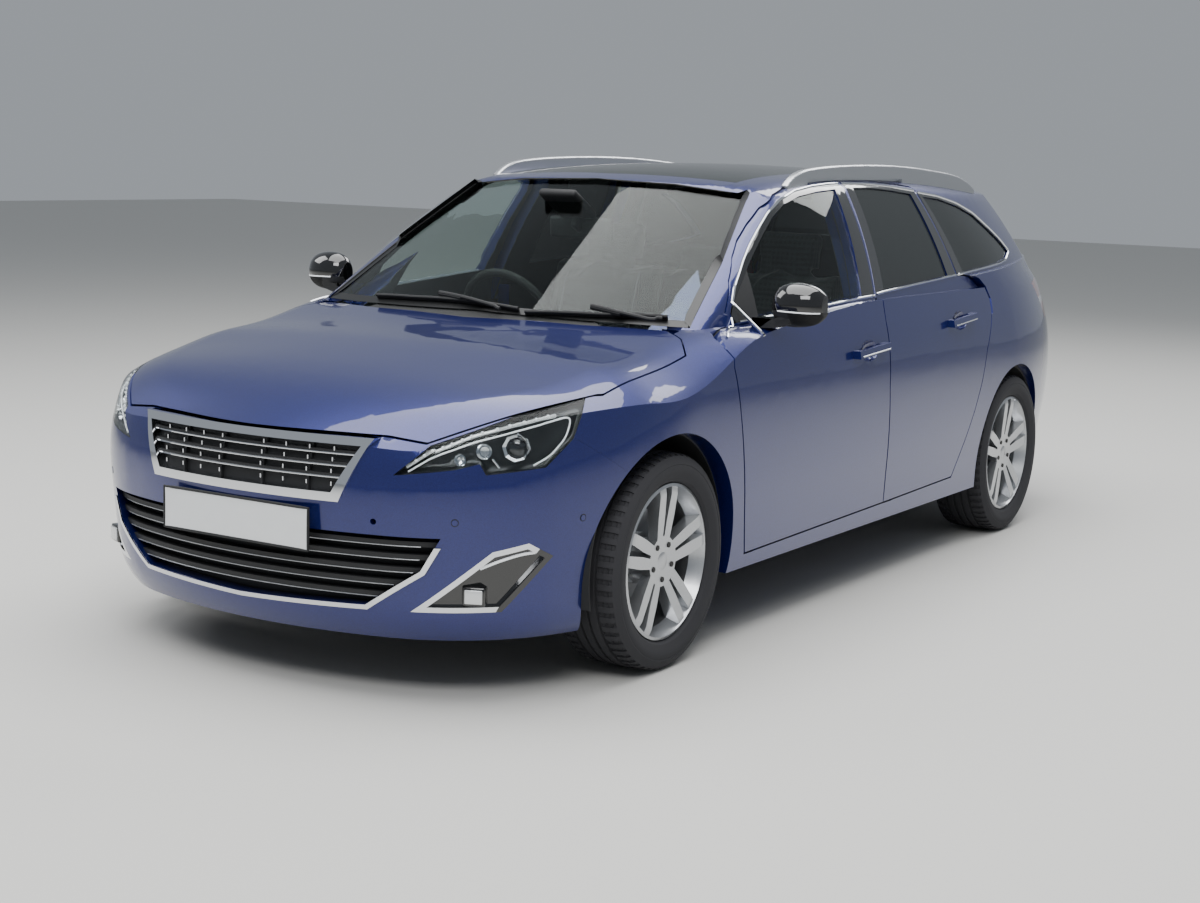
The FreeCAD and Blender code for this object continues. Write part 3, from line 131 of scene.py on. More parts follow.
@dataclass(frozen=True)
class Finish:
    """A finish: its pattern is in millimetres, its strengths are shares of one."""

    name: str
    colour: str
    second: str = ""
    metallic: float = 0.0
    roughness: float = 0.5
    ior: float = 1.5
    coat: float = 0.0
    coat_roughness: float = 0.03
    transmission: float = 0.0
    alpha: float = 1.0
    glow: float = 0.0
    sheen: float = 0.0
    grain: Grain = Grain.SMOOTH
    grain_mm: float = 1.0
    depth_mm: float = 0.0

    def material(self) -> bpy.types.Material:
        """Return the Blender material of this finish, built once."""
        found = bpy.data.materials.get(self.name)
        if found:
            return found
        made = bpy.data.materials.new(self.name)
        made.use_nodes = True
        tree = made.node_tree
        shader = tree.nodes["Principled BSDF"]
        values = {
            "Base Color": linear(self.colour),
            "Metallic": self.metallic,
            "Roughness": self.roughness,
            "IOR": self.ior,
            "Coat Weight": self.coat,
            "Coat Roughness": self.coat_roughness,
            "Transmission Weight": self.transmission,
            "Alpha": self.alpha,
            "Sheen Weight": self.sheen,
            "Emission Color": linear(self.colour),
            "Emission Strength": self.glow,
        }
        for name, value in values.items():
            shader.inputs[name].default_value = value
        if self.grain is not Grain.SMOOTH:
            self._pattern(tree, shader)
        return made

    def _pattern(self, tree: bpy.types.NodeTree, shader: bpy.types.Node) -> None:
        """Add the pattern of this finish to its shader.

        Args:
            tree: the material's node tree.
            shader: its Principled BSDF.
        """
        place = add_node(tree, "ShaderNodeTexCoord", {}, {}).outputs["Object"]
        scale = 1000.0 / self.grain_mm
        if self.grain is Grain.WOVEN:
            height = self._weave(tree, place, scale)
        elif self.grain is Grain.FLAKE:
            cell = {"Scale": scale, "voronoi_dimensions": "3D"}
            height = add_node(tree, "ShaderNodeTexVoronoi", cell, {"Vector": place}).outputs["Color"]
            height = add_node(tree, "ShaderNodeSeparateColor", {}, {"Color": height}).outputs["Red"]
        elif self.grain is Grain.BRUSHED:
            stretched = add_node(tree, "ShaderNodeMapping", {"Scale": (30.0, 1.0, 30.0)}, {"Vector": place})
            noise = {"Scale": scale / 30.0, "Detail": 3.0}
            height = add_node(tree, "ShaderNodeTexNoise", noise, {"Vector": stretched.outputs[0]}).outputs[0]
        else:
            noise = {"Scale": scale, "Detail": 2.0 if self.grain is Grain.ORANGE_PEEL else 4.0}
            height = add_node(tree, "ShaderNodeTexNoise", noise, {"Vector": place}).outputs[0]
        if self.second:
            if self.grain in (Grain.FLAKE, Grain.WOVEN):
                mix = height
            else:
                broad = {"Scale": scale / 12.0, "Detail": 4.0, "Roughness": 0.65}
                mix = add_node(tree, "ShaderNodeTexNoise", broad, {"Vector": place}).outputs[0]
            blend = add_node(
                tree, "ShaderNodeMix", {"data_type": "RGBA", "blend_type": "MIX"}, {}
            )
            blend.inputs[6].default_value = linear(self.colour)
            blend.inputs[7].default_value = linear(self.second)
            tree.links.new(mix, blend.inputs[0])
            tree.links.new(blend.outputs[2], shader.inputs["Base Color"])
        if self.depth_mm:
            bump = {"Strength": 1.0, "Distance": self.depth_mm / 1000.0}
            bent = add_node(tree, "ShaderNodeBump", bump, {"Height": height})
            tree.links.new(bent.outputs[0], shader.inputs["Normal"])

    def _weave(
        self, tree: bpy.types.NodeTree, place: bpy.types.NodeSocket, scale: float
    ) -> bpy.types.NodeSocket:
        """Plain weave of crossing threads.

        Args:
            tree: the material's node tree.
            place: object coordinates.
            scale: threads per metre.

        Returns:
            The height of the threads.
        """
        waves = []
        for direction in ("X", "Y", "Z"):
            wave = {"wave_type": "BANDS", "bands_direction": direction, "Scale": scale / 20.0}
            waves.append(add_node(tree, "ShaderNodeTexWave", wave, {"Vector": place}).outputs[1])
        first = add_node(tree, "ShaderNodeMath", {"operation": "MULTIPLY"}, {})
        tree.links.new(waves[0], first.inputs[0])
        tree.links.new(waves[1], first.inputs[1])
        second = add_node(tree, "ShaderNodeMath", {"operation": "ADD"}, {})
        tree.links.new(first.outputs[0], second.inputs[0])
        tree.links.new(waves[2], second.inputs[1])
        return second.outputs[0]


# Metallic base coat under clear lacquer: the flakes sparkle, the lacquer mirrors the room.
BODY_PAINT = Finish(
    "metallic_lacquer", "10195a", "18246e", metallic=0.6, roughness=0.32, coat=1.0, coat_roughness=0.02,
    grain=Grain.FLAKE, grain_mm=1.6, depth_mm=0.0,
)
# Chrome-plated plastic: a clean mirror.
CHROME = Finish("chrome_plate", "e4e6ea", metallic=1.0, roughness=0.06)
# Brushed and anodised aluminium: soft stretched highlights along the rail.
SATIN_RAIL = Finish(
    "anodised_aluminium", "c9cbce", metallic=1.0, roughness=0.32, grain=Grain.BRUSHED, grain_mm=1.0,
    depth_mm=0.02,
)
# Polished black lacquer over plastic.
GLOSS_BLACK = Finish("piano_black", "0a0a0c", roughness=0.08, coat=1.0, coat_roughness=0.02)
# Moulded polypropylene with a fine leather grain, drawn at 1.2 mm so that it shows.
GRAINED_BLACK = Finish(
    "grained_polypropylene", "17181a", "1e1f21", roughness=0.62, grain=Grain.MOULDED, grain_mm=1.2,
    depth_mm=0.12,
)
# Soft extruded rubber of the wiper blades.
SEAL_RUBBER = Finish("seal_rubber", "0c0c0d", roughness=0.7, grain=Grain.MOULDED, grain_mm=2.0, depth_mm=0.05)
# Carbon-filled tyre rubber: dull, slightly dusty.
TYRE_RUBBER = Finish(
    "tyre_rubber", "151516", "232221", roughness=0.78, grain=Grain.DIRT, grain_mm=4.0, depth_mm=0.15,
)
# Painted cast aluminium wheel under lacquer.
WHEEL_SILVER = Finish(
    "silver_wheel_lacquer", "b4b6b9", "bdbfc2", metallic=0.85, roughness=0.3, coat=0.8, coat_roughness=0.06,
    grain=Grain.FLAKE, grain_mm=1.5,
)
# Raw cast iron and aluminium with a sand-cast skin.
CAST_METAL = Finish("sand_cast_metal", "5a5b5c", "44413d", metallic=0.7, roughness=0.62, grain=Grain.CAST,
                    grain_mm=3.0, depth_mm=0.3)
# Electrophoretic black paint with road dust.
CHASSIS_BLACK = Finish("chassis_black", "111213", "1d1b18", roughness=0.55, grain=Grain.DIRT, grain_mm=6.0,
                       depth_mm=0.1)
# Stainless sheet of the exhaust, dulled by heat.
EXHAUST_STEEL = Finish("dull_stainless", "8f8b84", "6f675d", metallic=1.0, roughness=0.45, grain=Grain.DIRT,
                       grain_mm=5.0, depth_mm=0.08)
# Laminated clear glass with a light green tint.
CLEAR_GLASS = Finish("laminated_glass", "dbe6e2", roughness=0.0, ior=1.2, transmission=1.0)
# Body-tinted privacy glass.
PRIVACY_GLASS = Finish("privacy_glass", "1f2224", roughness=0.0, ior=1.45, transmission=1.0)
# Ceramic black print round the edge of the glass.
CERAMIC_PRINT = Finish("ceramic_print", "0b0c0d", roughness=0.35)
# Hard-coated polycarbonate lamp cover.
LAMP_COVER = Finish("lamp_polycarbonate", "f4f7f8", roughness=0.0, ior=1.15, transmission=1.0)
# Vacuum-metallised reflector.
REFLECTOR = Finish("metallised_reflector", "d9dcdf", metallic=1.0, roughness=0.12)
# Dark tinted inner panel of the lamp.
LAMP_BEZEL = Finish("lamp_bezel_grey", "2c2f31", roughness=0.3, metallic=0.3)
# Frosted light guide, faintly lit.
LIGHT_GUIDE = Finish("frosted_light_guide", "f2f5f8", roughness=0.35, glow=0.35)
# Moulded red acrylic of the rear lamps.
RED_LENS = Finish("red_acrylic", "8e0d12", roughness=0.06, coat=1.0, coat_roughness=0.02)
# Clear acrylic band of the rear lamps.
CLEAR_LENS = Finish("clear_acrylic", "d8dadb", roughness=0.1, coat=1.0, metallic=0.2)
# Reflective plate sheet, blank.
PLATE_WHITE = Finish("reflective_sheet", "dfe2e4", "e7e9ea", roughness=0.35, coat=0.4, grain=Grain.MOULDED,
                     grain_mm=2.5, depth_mm=0.02)
# Woven seat cloth, threads drawn at 3 mm so that they show.
SEAT_CLOTH = Finish("woven_seat_cloth", "2a2b2e", "3a3c40", roughness=0.9, sheen=0.4, grain=Grain.WOVEN,
                    grain_mm=3.0, depth_mm=0.4)
# Twisted sewing thread.
SEAM_THREAD = Finish("sewing_thread", "6a6d72", roughness=0.8)
# Slush-moulded soft trim with a leather grain.
SOFT_TRIM = Finish("slush_moulded_trim", "1b1c1e", "232426", roughness=0.7, grain=Grain.MOULDED, grain_mm=2.0,
                   depth_mm=0.2)
# Pale knitted headlining.
HEADLINING = Finish("knitted_headlining", "a9a59b", "b3afa6", roughness=0.95, grain=Grain.MOULDED,
                    grain_mm=2.0, depth_mm=0.2)
# Needle-felt carpet.
CARPET = Finish("needle_felt", "1c1c1d", "29292a", roughness=0.95, grain=Grain.MOULDED, grain_mm=3.0,
                depth_mm=0.6)
# Ground glass lens of the projector, dark inside.
PROJECTOR = Finish("projector_lens", "171b20", roughness=0.02, coat=1.0)
MIRROR_GLASS = Finish("mirror_glass", "cfd4d6", metallic=1.0, roughness=0.01)

CAD_FINISHES = {
    node: finish
    for finish, nodes in (
        (BODY_PAINT, "hood front_bumper fenders body_side_left body_side_right roof tailgate rear_bumper "
                     "door_front_left door_front_right door_rear_left door_rear_right"),
        (CHROME, "grille_surround front_lip fog_bezels"),
        (GRAINED_BLACK, "grille_bars cowl wheel_liners"),
        (GLOSS_BLACK, "fog_lamps mirror_left mirror_right"),
        (LAMP_BEZEL, "headlamps"),
        (RED_LENS, "tail_lamps tailgate_lamps"),
        (CLEAR_GLASS, "windscreen glass_front_left glass_front_right"),
        (PRIVACY_GLASS, "glass_rear_left glass_rear_right quarter_glass back_window roof_glass"),
        (SOFT_TRIM, "dashboard steering_wheel"),
        (CHASSIS_BLACK, "floor_pan load_floor rear_wheelhouses front_suspension rear_axle"),
        (CAST_METAL, "engine_block knuckle_left knuckle_right"),
        (EXHAUST_STEEL, "exhaust"),
        (SEAT_CLOTH, "front_seats rear_seat"),
        (SATIN_RAIL, "roof_rails"),
        (PLATE_WHITE, "number_plate"),
    )
    for node in nodes.split()
}


# ---------------------------------------------------------------- mesh tools


def store(
    shape: bmesh.types.BMesh, name: str, finish: Finish, body: str, smooth: float = 35.0
) -> bpy.types.Object:
    """Make an object of a finished bmesh and ride it on a body.

    Args:
        shape: the mesh, freed afterwards.
        name: object name.
        finish: its finish.
        body: CAD body that carries it.
        smooth: edges under this angle in degrees are shaded smooth.

    Returns:
        The new object.
    """
    limit = math.radians(smooth)
    for face in shape.faces:
        face.smooth = True
    for edge in shape.edges:
        edge.smooth = len(edge.link_faces) == 2 and edge.calc_face_angle(0.0) < limit
    mesh = bpy.data.meshes.new(name)
    shape.to_mesh(mesh)
    shape.free()
    made = bpy.data.objects.new(name, mesh)
    bpy.context.scene.collection.objects.link(made)
    mesh.materials.append(finish.material())
    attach(made, body)
    return made


def merged_copy(node: str) -> bmesh.types.BMesh:
    """Copy of a CAD node's mesh with its loose triangles merged."""
    shape = bmesh.new()
    shape.from_mesh(FRAME["nodes"][node].data)
    bmesh.ops.remove_doubles(shape, verts=shape.verts, dist=MERGE)
    return shape


def body_of_node(node: str) -> str:
    """Name of the CAD body that a node rides on."""
    return FRAME["nodes"][node]["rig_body"]


def dressed(node: str, finish: Finish, smooth: float = 30.0) -> bpy.types.Object:
    """Show a merged and smooth-shaded copy in place of a CAD node.

    Args:
        node: CAD node.
        finish: its finish.
        smooth: edges under this angle in degrees are shaded smooth.

    Returns:
        The copy.
    """
    made = store(merged_copy(node), node + "_skin", finish, body_of_node(node), smooth)
    weighted = made.modifiers.new("even_normals", "WEIGHTED_NORMAL")
    weighted.keep_sharp = True
    weighted.weight = 50
    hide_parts(node)
    return made


MM = 0.001
VIEWS = {"side": (1, 2), "front": (0, 2), "plan": (0, 1)}
COARSE_STEP = 0.06
FINE_STEP = 0.02
NEIGHBOURS = 6
DEEPEST_DROP = 0.025
# Heights of thin plates over the surface that they lie on.
PRINT_LIFT = 0.0002
LINING_LIFT = 0.0003


def softened(path: list[Vector], passes: int = 3) -> list[Vector]:
    """Round the corners of an open path by cutting them.

    Args:
        path: points of the path.
        passes: how often the corners are cut.

    Returns:
        The rounded path.
    """
    for _ in range(passes):
        cut = [p.lerp(q, share) for p, q in zip(path, path[1:]) for share in (0.25, 0.75)]
        path = [path[0]] + cut[1:-1] + [path[-1]]
    return path


def spaced(path: list[Vector], step: float, closed: bool = False) -> list[Vector]:
    """Add points to a path so that none lie further apart than a step.

    Args:
        path: points of the path.
        step: largest distance.
        closed: whether the path is a loop.

    Returns:
        The denser path.
    """
    ends = path[1:] + path[:1] if closed else path[1:]
    dense = []
    for start, end in zip(path, ends):
        count = max(1, math.ceil((end - start).length / step))
        dense += [start.lerp(end, i / count) for i in range(count)]
    return dense if closed else dense + [path[-1]]


def mirrored(rows: list[tuple], side: int) -> list[Vector]:
    """Points in metres from rows of millimetres given for the left side."""
    return [Vector((x * side, y, z)) * MM for x, y, z in rows]


def side_rows(rows: list[tuple]) -> list[tuple]:
    """Rows of y and z with a place holder for x."""
    return [(900, y, z) for y, z in rows]


class Skin:
    """Outer surface of some CAD nodes, on which paths are laid."""

    def __init__(self, *nodes: str, cover: bpy.types.Mesh | None = None) -> None:
        """Read the surfaces of the nodes, or of a mesh.

        Args:
            nodes: CAD nodes.
            cover: mesh to use as well.
        """
        self.trees = []
        if cover:
            shape = bmesh.new()
            shape.from_mesh(cover)
            self.trees.append(BVHTree.FromBMesh(shape))
            shape.free()
        for node in nodes:
            shape = merged_copy(node)
            self.trees.append(BVHTree.FromBMesh(shape))
            shape.free()

    def drop(self, point: Vector, facing: Vector) -> tuple[Vector, Vector]:
        """Find the surface under a point.

        Args:
            point: rough place.
            facing: direction from the surface to the open air.

        Returns:
            Place on the surface and its normal.
        """
        start = point + facing * 0.6
        hits = [tree.ray_cast(start, -facing) for tree in self.trees]
        hits = [hit for hit in hits if hit[0] is not None]
        if not hits:
            hits = [tree.find_nearest(point) for tree in self.trees]
        place, normal, _, _ = min(hits, key=lambda hit: hit[3])
        return place, normal if normal.dot(facing) > 0 else -normal

    def laid(self, path: list[Vector], facing: Vector, lift: float = 0.0) -> list[Vector]:
        """Lay a path on the surface.

        Args:
            path: rough points.
            facing: direction from the surface to the open air.
            lift: height over the surface.

        Returns:
            The rounded path on the surface, without points that fell through a gap.
        """
        dense = spaced(softened(spaced(path, COARSE_STEP)), FINE_STEP)
        found = [self.drop(point, facing) for point in dense]
        heights = [place.dot(facing) for place, _ in found]
        kept = []
        for i, (place, normal) in enumerate(found):
            near = heights[max(0, i - NEIGHBOURS) : i + NEIGHBOURS + 1]
            if heights[i] > max(near) - DEEPEST_DROP:
                kept.append(place + normal * lift)
        return kept


def cut_to(shape: bmesh.types.BMesh, view: str, outline: list[tuple]) -> None:
    """Cut away all that lies outside a convex outline.

    Args:
        shape: mesh to cut.
        view: side, front or plan.
        outline: its corners in millimetres in that view.
    """
    first, second = VIEWS[view]
    middle = Vector((0, 0, 0))
    middle[first] = sum(p[0] for p in outline) / len(outline) * MM
    middle[second] = sum(p[1] for p in outline) / len(outline) * MM
    for start, end in zip(outline, outline[1:] + outline[:1]):
        place, normal = Vector((0, 0, 0)), Vector((0, 0, 0))
        place[first], place[second] = start[0] * MM, start[1] * MM
        normal[first], normal[second] = end[1] - start[1], start[0] - end[0]
        if normal.dot(middle - place) > 0:
            normal.negate()
        geometry = shape.verts[:] + shape.edges[:] + shape.faces[:]
        bmesh.ops.bisect_plane(shape, geom=geometry, plane_co=place, plane_no=normal, clear_outer=True)


def patch(
    node: str, facing: Vector, view: str = "", outline: list[tuple] = (), limit: float = 0.25
) -> bmesh.types.BMesh:
    """Outer faces of a CAD node, within a convex outline if one is given.

    Args:
        node: CAD node.
        facing: direction from the surface to the open air.
        view: side, front or plan.
        outline: corners in millimetres.
        limit: smallest cosine between a face's normal and facing.

    Returns:
        The open sheet.
    """
    shape = merged_copy(node)
    shape.normal_update()
    tree = BVHTree.FromBMesh(shape)
    hidden = []
    for face in shape.faces:
        start = face.calc_center_median() + face.normal * 2e-4
        if face.normal.dot(facing) < limit or tree.ray_cast(start, facing)[0] is not None:
            hidden.append(face)
    bmesh.ops.delete(shape, geom=hidden, context="FACES")
    if outline:
        cut_to(shape, view, list(outline))
    return shape


def bordered(sheet: bmesh.types.BMesh, width: float) -> bmesh.types.BMesh:
    """Keep only the border of an open sheet.

    Args:
        sheet: the sheet.
        width: width of the border.

    Returns:
        The same mesh.
    """
    inner = sheet.faces[:]
    bmesh.ops.inset_region(sheet, faces=inner, thickness=width, use_boundary=True, use_even_offset=False)
    bmesh.ops.delete(sheet, geom=inner, context="FACES")
    return sheet


class Piece:
    """A new piece: geometry of one finish, gathered and then stored."""

    def __init__(self, name: str, finish: Finish, body: str, smooth: float = 40.0) -> None:
        """Start an empty piece."""
        self.name, self.finish, self.body, self.smooth = name, finish, body, smooth
        self.shape = bmesh.new()

    def tube(self, path: list[Vector], radius: float, closed: bool = False) -> "Piece":
        """Add a round bar along a path.

        Args:
            path: its centre line.
            radius: its radius.
            closed: whether it is a loop.

        Returns:
            This piece.
        """
        curve = bpy.data.curves.new(self.name, "CURVE")
        curve.dimensions = "3D"
        curve.bevel_depth = radius
        curve.bevel_resolution = 2
        curve.use_fill_caps = True
        spline = curve.splines.new("POLY")
        spline.points.add(len(path) - 1)
        for knot, place in zip(spline.points, path):
            knot.co = (*place, 1.0)
        spline.use_cyclic_u = closed
        holder = bpy.data.objects.new(self.name, curve)
        mesh = bpy.data.meshes.new_from_object(holder)
        self.shape.from_mesh(mesh)
        bpy.data.meshes.remove(mesh)
        bpy.data.objects.remove(holder)
        bpy.data.curves.remove(curve)
        return self

    def box(self, centre: Vector, size: tuple, turn: Matrix = Matrix(), bevel: float = 0.0) -> "Piece":
        """Add a box with rounded edges.

        Args:
            centre: its middle.
            size: its three sides.
            turn: its rotation.
            bevel: radius of its edges.

        Returns:
            This piece.
        """
        place = Matrix.Translation(centre) @ turn.to_4x4() @ Matrix.Diagonal((*size, 1.0))
        made = bmesh.ops.create_cube(self.shape, size=1.0, matrix=place)["verts"]
        if bevel:
            edges = list({edge for vert in made for edge in vert.link_edges})
            bmesh.ops.bevel(
                self.shape, geom=edges, offset=bevel, segments=3, affect="EDGES", profile=0.5, material=-1
            )
        return self

    def ball(self, centre: Vector, size: tuple, turn: Matrix = Matrix()) -> "Piece":
        """Add a ball stretched to a size.

        Args:
            centre: its middle.
            size: its three radii.
            turn: its rotation.

        Returns:
            This piece.
        """
        place = Matrix.Translation(centre) @ turn.to_4x4() @ Matrix.Diagonal((*size, 1.0))
        bmesh.ops.create_uvsphere(self.shape, u_segments=20, v_segments=12, radius=1.0, matrix=place)
        return self

    def turned(self, profile: list[tuple], centre: Vector, axis: Vector, steps: int = 32) -> "Piece":
        """Add a turned solid.

        Args:
            profile: rows of radius and height along the axis, in metres.
            centre: point of height zero.
            axis: unit vector of the axis.
            steps: how many segments go round.

        Returns:
            This piece.
        """
        across = axis.orthogonal().normalized()
        points = [self.shape.verts.new(centre + across * r + axis * h) for r, h in profile]
        edges = [self.shape.edges.new(pair) for pair in zip(points, points[1:])]
        bmesh.ops.spin(
            self.shape, geom=points + edges, cent=centre, axis=axis, angle=math.tau, steps=steps,
            use_merge=True,
        )
        return self

    def sheet(self, source: bmesh.types.BMesh, lift: float, thickness: float) -> "Piece":
        """Add an open sheet as a thin closed plate.

        Args:
            source: the sheet, freed afterwards.
            lift: height of its lower face over the surface.
            thickness: its thickness.

        Returns:
            This piece.
        """
        source.normal_update()
        for vert, normal in [(vert, vert.normal.copy()) for vert in source.verts]:
            vert.co += normal * lift
        raised = bmesh.ops.extrude_face_region(source, geom=source.faces[:], use_keep_orig=True)["geom"]
        for item in raised:
            if isinstance(item, bmesh.types.BMVert):
                item.co += item.normal * thickness
        bmesh.ops.recalc_face_normals(source, faces=source.faces[:])
        mesh = bpy.data.meshes.new("sheet")
        source.to_mesh(mesh)
        source.free()
        self.shape.from_mesh(mesh)
        bpy.data.meshes.remove(mesh)
        return self

    def done(self) -> bpy.types.Object:
        """Close the piece and put it in the scene."""
        bmesh.ops.remove_doubles(self.shape, verts=self.shape.verts[:], dist=1e-6)
        bmesh.ops.recalc_face_normals(self.shape, faces=self.shape.faces[:])
        LOG.info("made %s", self.name)
        return store(self.shape, self.name, self.finish, self.body, self.smooth)


def plated(
    name: str, finish: Finish, node: str, sheet: bmesh.types.BMesh, lift: float, thickness: float
) -> bpy.types.Object:
    """Store a sheet as a thin plate that rides with a CAD node.

    Args:
        name: object name.
        finish: its finish.
        node: CAD node whose body carries it.
        sheet: open sheet taken from that node, freed afterwards.
        lift: height over the surface.
        thickness: thickness of the plate.

    Returns:
        The new object.
    """
    return Piece(name, finish, body_of_node(node)).sheet(sheet, lift, thickness).done()


# ---------------------------------------------------------------- windows and side trim

# Rows of y and z in millimetres.
FRAME_EDGE = {
    "front": [
        (-893, 983), (-812, 1077), (-718, 1147), (-641, 1197), (-555, 1247), (-461, 1298),
        (-357, 1339), (-234, 1366), (-102, 1381), (31, 1389), (112, 1391),
    ],
    "rear": [(137, 1391), (336, 1390), (510, 1381), (710, 1366)],
    "quarter": [
        (738, 1361), (776, 1357), (913, 1346), (1083, 1319), (1226, 1280), (1355, 1219), (1456, 1169),
        (1527, 1121), (1425, 1089), (1306, 1078), (887, 1056), (826, 1053),
    ],
}
BELT_EDGE = {
    "front": [(-850, 968), (-500, 985.5), (-58, 1009), (38, 1011)],
    "rear": [(60, 1016), (128, 1021), (731, 1049), (808, 1052)],
}
# Rows of x, y and z in millimetres.
STRIP_FOOT = [(762, -893, 984), (785, -945, 968), (820, -1024, 936)]
# Black field inside the strip: its lower corners, then the strip's own line a little lower.
FIELD_DROP = 2
FRAME_FIELD = {
    "front": [(-880, 967), (38, 1013), (112, 1389)]
    + [(y, z - FIELD_DROP) for y, z in FRAME_EDGE["front"][-2:0:-1]]
    + FRAME_EDGE["front"][:1],
    "rear": [(58, 1018), (812, 1053), (712, 1366), (510, 1381), (336, 1390), (137, 1391)],
    "quarter": [
        (826, 1057), (1306, 1079), (1425, 1090), (1522, 1120), (1456, 1169), (1355, 1219), (1226, 1280),
        (1083, 1319), (913, 1346), (776, 1357), (737, 1360),
    ],
}


@dataclass
class SideWindows:
    """Bright strip round the side glass and gloss black frames."""

    strip: float = 0.0048

    def build(self) -> None:
        """Make both sides."""
        for name, side in SIDES:
            facing = Vector((side, 0, 0))
            for part in ("front", "rear", "quarter"):
                node = f"body_side_{name}" if part == "quarter" else f"door_{part}_{name}"
                self._one(part, node, name, side, facing)
            self._sail(name, side, facing)

    def _one(self, part: str, node: str, name: str, side: int, facing: Vector) -> None:
        """Trim one window.

        Args:
            part: front, rear or quarter.
            node: CAD node that frames it.
            name: side name.
            side: one for the left side, minus one for the right.
            facing: outward direction.
        """
        body = body_of_node(node)
        tag = f"{part}_{name}"
        skin = Skin(node)
        trim = Piece(f"window_strip_{tag}", CHROME, body)
        trim.tube(skin.laid(mirrored(side_rows(FRAME_EDGE[part]), side), facing, 0.001), self.strip)
        if part in BELT_EDGE:
            trim.tube(skin.laid(mirrored(side_rows(BELT_EDGE[part]), side), facing, 0.002), self.strip)
        if part == "front":
            slope = Vector((0.45 * side, -0.19, 0.87))
            trim.tube(skin.laid(mirrored(STRIP_FOOT, side), slope, 0.001), self.strip)
        trim.done()
        field_sheet = patch(node, facing, "side", FRAME_FIELD[part], 0.2)
        plated(f"window_frame_{tag}", GLOSS_BLACK, node, field_sheet, LINING_LIFT, 0.0006)

    def _sail(self, name: str, side: int, facing: Vector) -> None:
        """Black corner panel in front of the front glass.

        Args:
            name: side name.
            side: one for the left side, minus one for the right.
            facing: outward direction.
        """
        pane = f"glass_front_{name}"
        corner = [(-856, 960), (-742, 966), (-716, 1130), (-795, 1075), (-856, 1024)]
        sheet = patch(pane, facing, "side", corner, 0.2)
        plated(f"mirror_sail_{name}", GRAINED_BLACK, pane, sheet, PRINT_LIFT, 0.0045)


@dataclass
class Screens:
    """Windscreen surround, sensor housing, wipers and the printed edges of the big panes."""

    border: float = 0.034
    back_border: float = 0.028
    blade: float = 0.0055
    wipers: dict = field(
        default_factory=lambda: {
            "left": {
                "blade": [(196, -1190, 971), (310, -1165, 976), (435, -1133, 977), (560, -1085, 980),
                          (632, -1060, 980)],
                "arm": [(396, -1120, 992), (500, -1120, 985), (600, -1108, 968), (632, -1098, 958)],
            },
            "right": {
                "blade": [(-440, -1126, 979), (-265, -1155, 985), (-33, -1171, 989), (165, -1181, 978)],
                "arm": [(-160, -1148, 996), (-60, -1168, 992), (60, -1190, 976), (110, -1198, 966)],
            },
        }
    )

    def build(self) -> None:
        """Make all pieces at the big panes."""
        up = Vector((0, -0.5, 0.86))
        back = Vector((0, 0.75, 0.66))
        panes = (("windscreen", up, self.border), ("back_window", back, self.back_border))
        for node, facing, border in panes:
            sheet = bordered(patch(node, facing, limit=0.3), border)
            plated(f"{node}_print", CERAMIC_PRINT, node, sheet, PRINT_LIFT, 0.0004)
        self._wipers(up)
        self._housing()

    def _wipers(self, up: Vector) -> None:
        """Lay blades and arms over the foot of the windscreen.

        Args:
            up: outward direction of the glass.
        """
        skin = Skin("windscreen", "cowl")
        for name, rows in self.wipers.items():
            blade = [Vector(row) * MM for row in rows["blade"]]
            arm = [Vector(row) * MM for row in rows["arm"]]
            wiper = Piece(f"wiper_{name}", GRAINED_BLACK, BODY)
            wiper.tube(skin.laid(blade, up, 0.013), self.blade)
            wiper.tube(skin.laid(arm, up, 0.024), 0.0065)
            wiper.tube(skin.laid(arm[:2], up, 0.019), 0.009)
            wiper.done()
            rubber = Piece(f"wiper_rubber_{name}", SEAL_RUBBER, BODY)
            rubber.tube(skin.laid(blade, up, 0.0045), 0.0038).done()

    def _housing(self) -> None:
        """Sensor housing and inside mirror behind the top of the windscreen."""
        place = Vector((-0.06, -0.575, 1.300))
        tilt = Matrix.Rotation(math.radians(-30), 3, "X")
        house = Piece("sensor_housing", GRAINED_BLACK, BODY)
        house.box(place, (0.15, 0.17, 0.028), tilt, 0.012)
        house.box(place + Vector((0, 0.07, -0.06)), (0.02, 0.05, 0.07), tilt, 0.006)
        house.box(Vector((-0.06, -0.485, 1.215)), (0.25, 0.03, 0.075), Matrix.Rotation(0.12, 3, "X"), 0.012)
        house.done()
        glass = Piece("inside_mirror_glass", MIRROR_GLASS, BODY)
        glass.box(Vector((-0.06, -0.469, 1.213)), (0.232, 0.002, 0.058), Matrix.Rotation(0.12, 3, "X"))
        glass.done()


# ---------------------------------------------------------------- nose


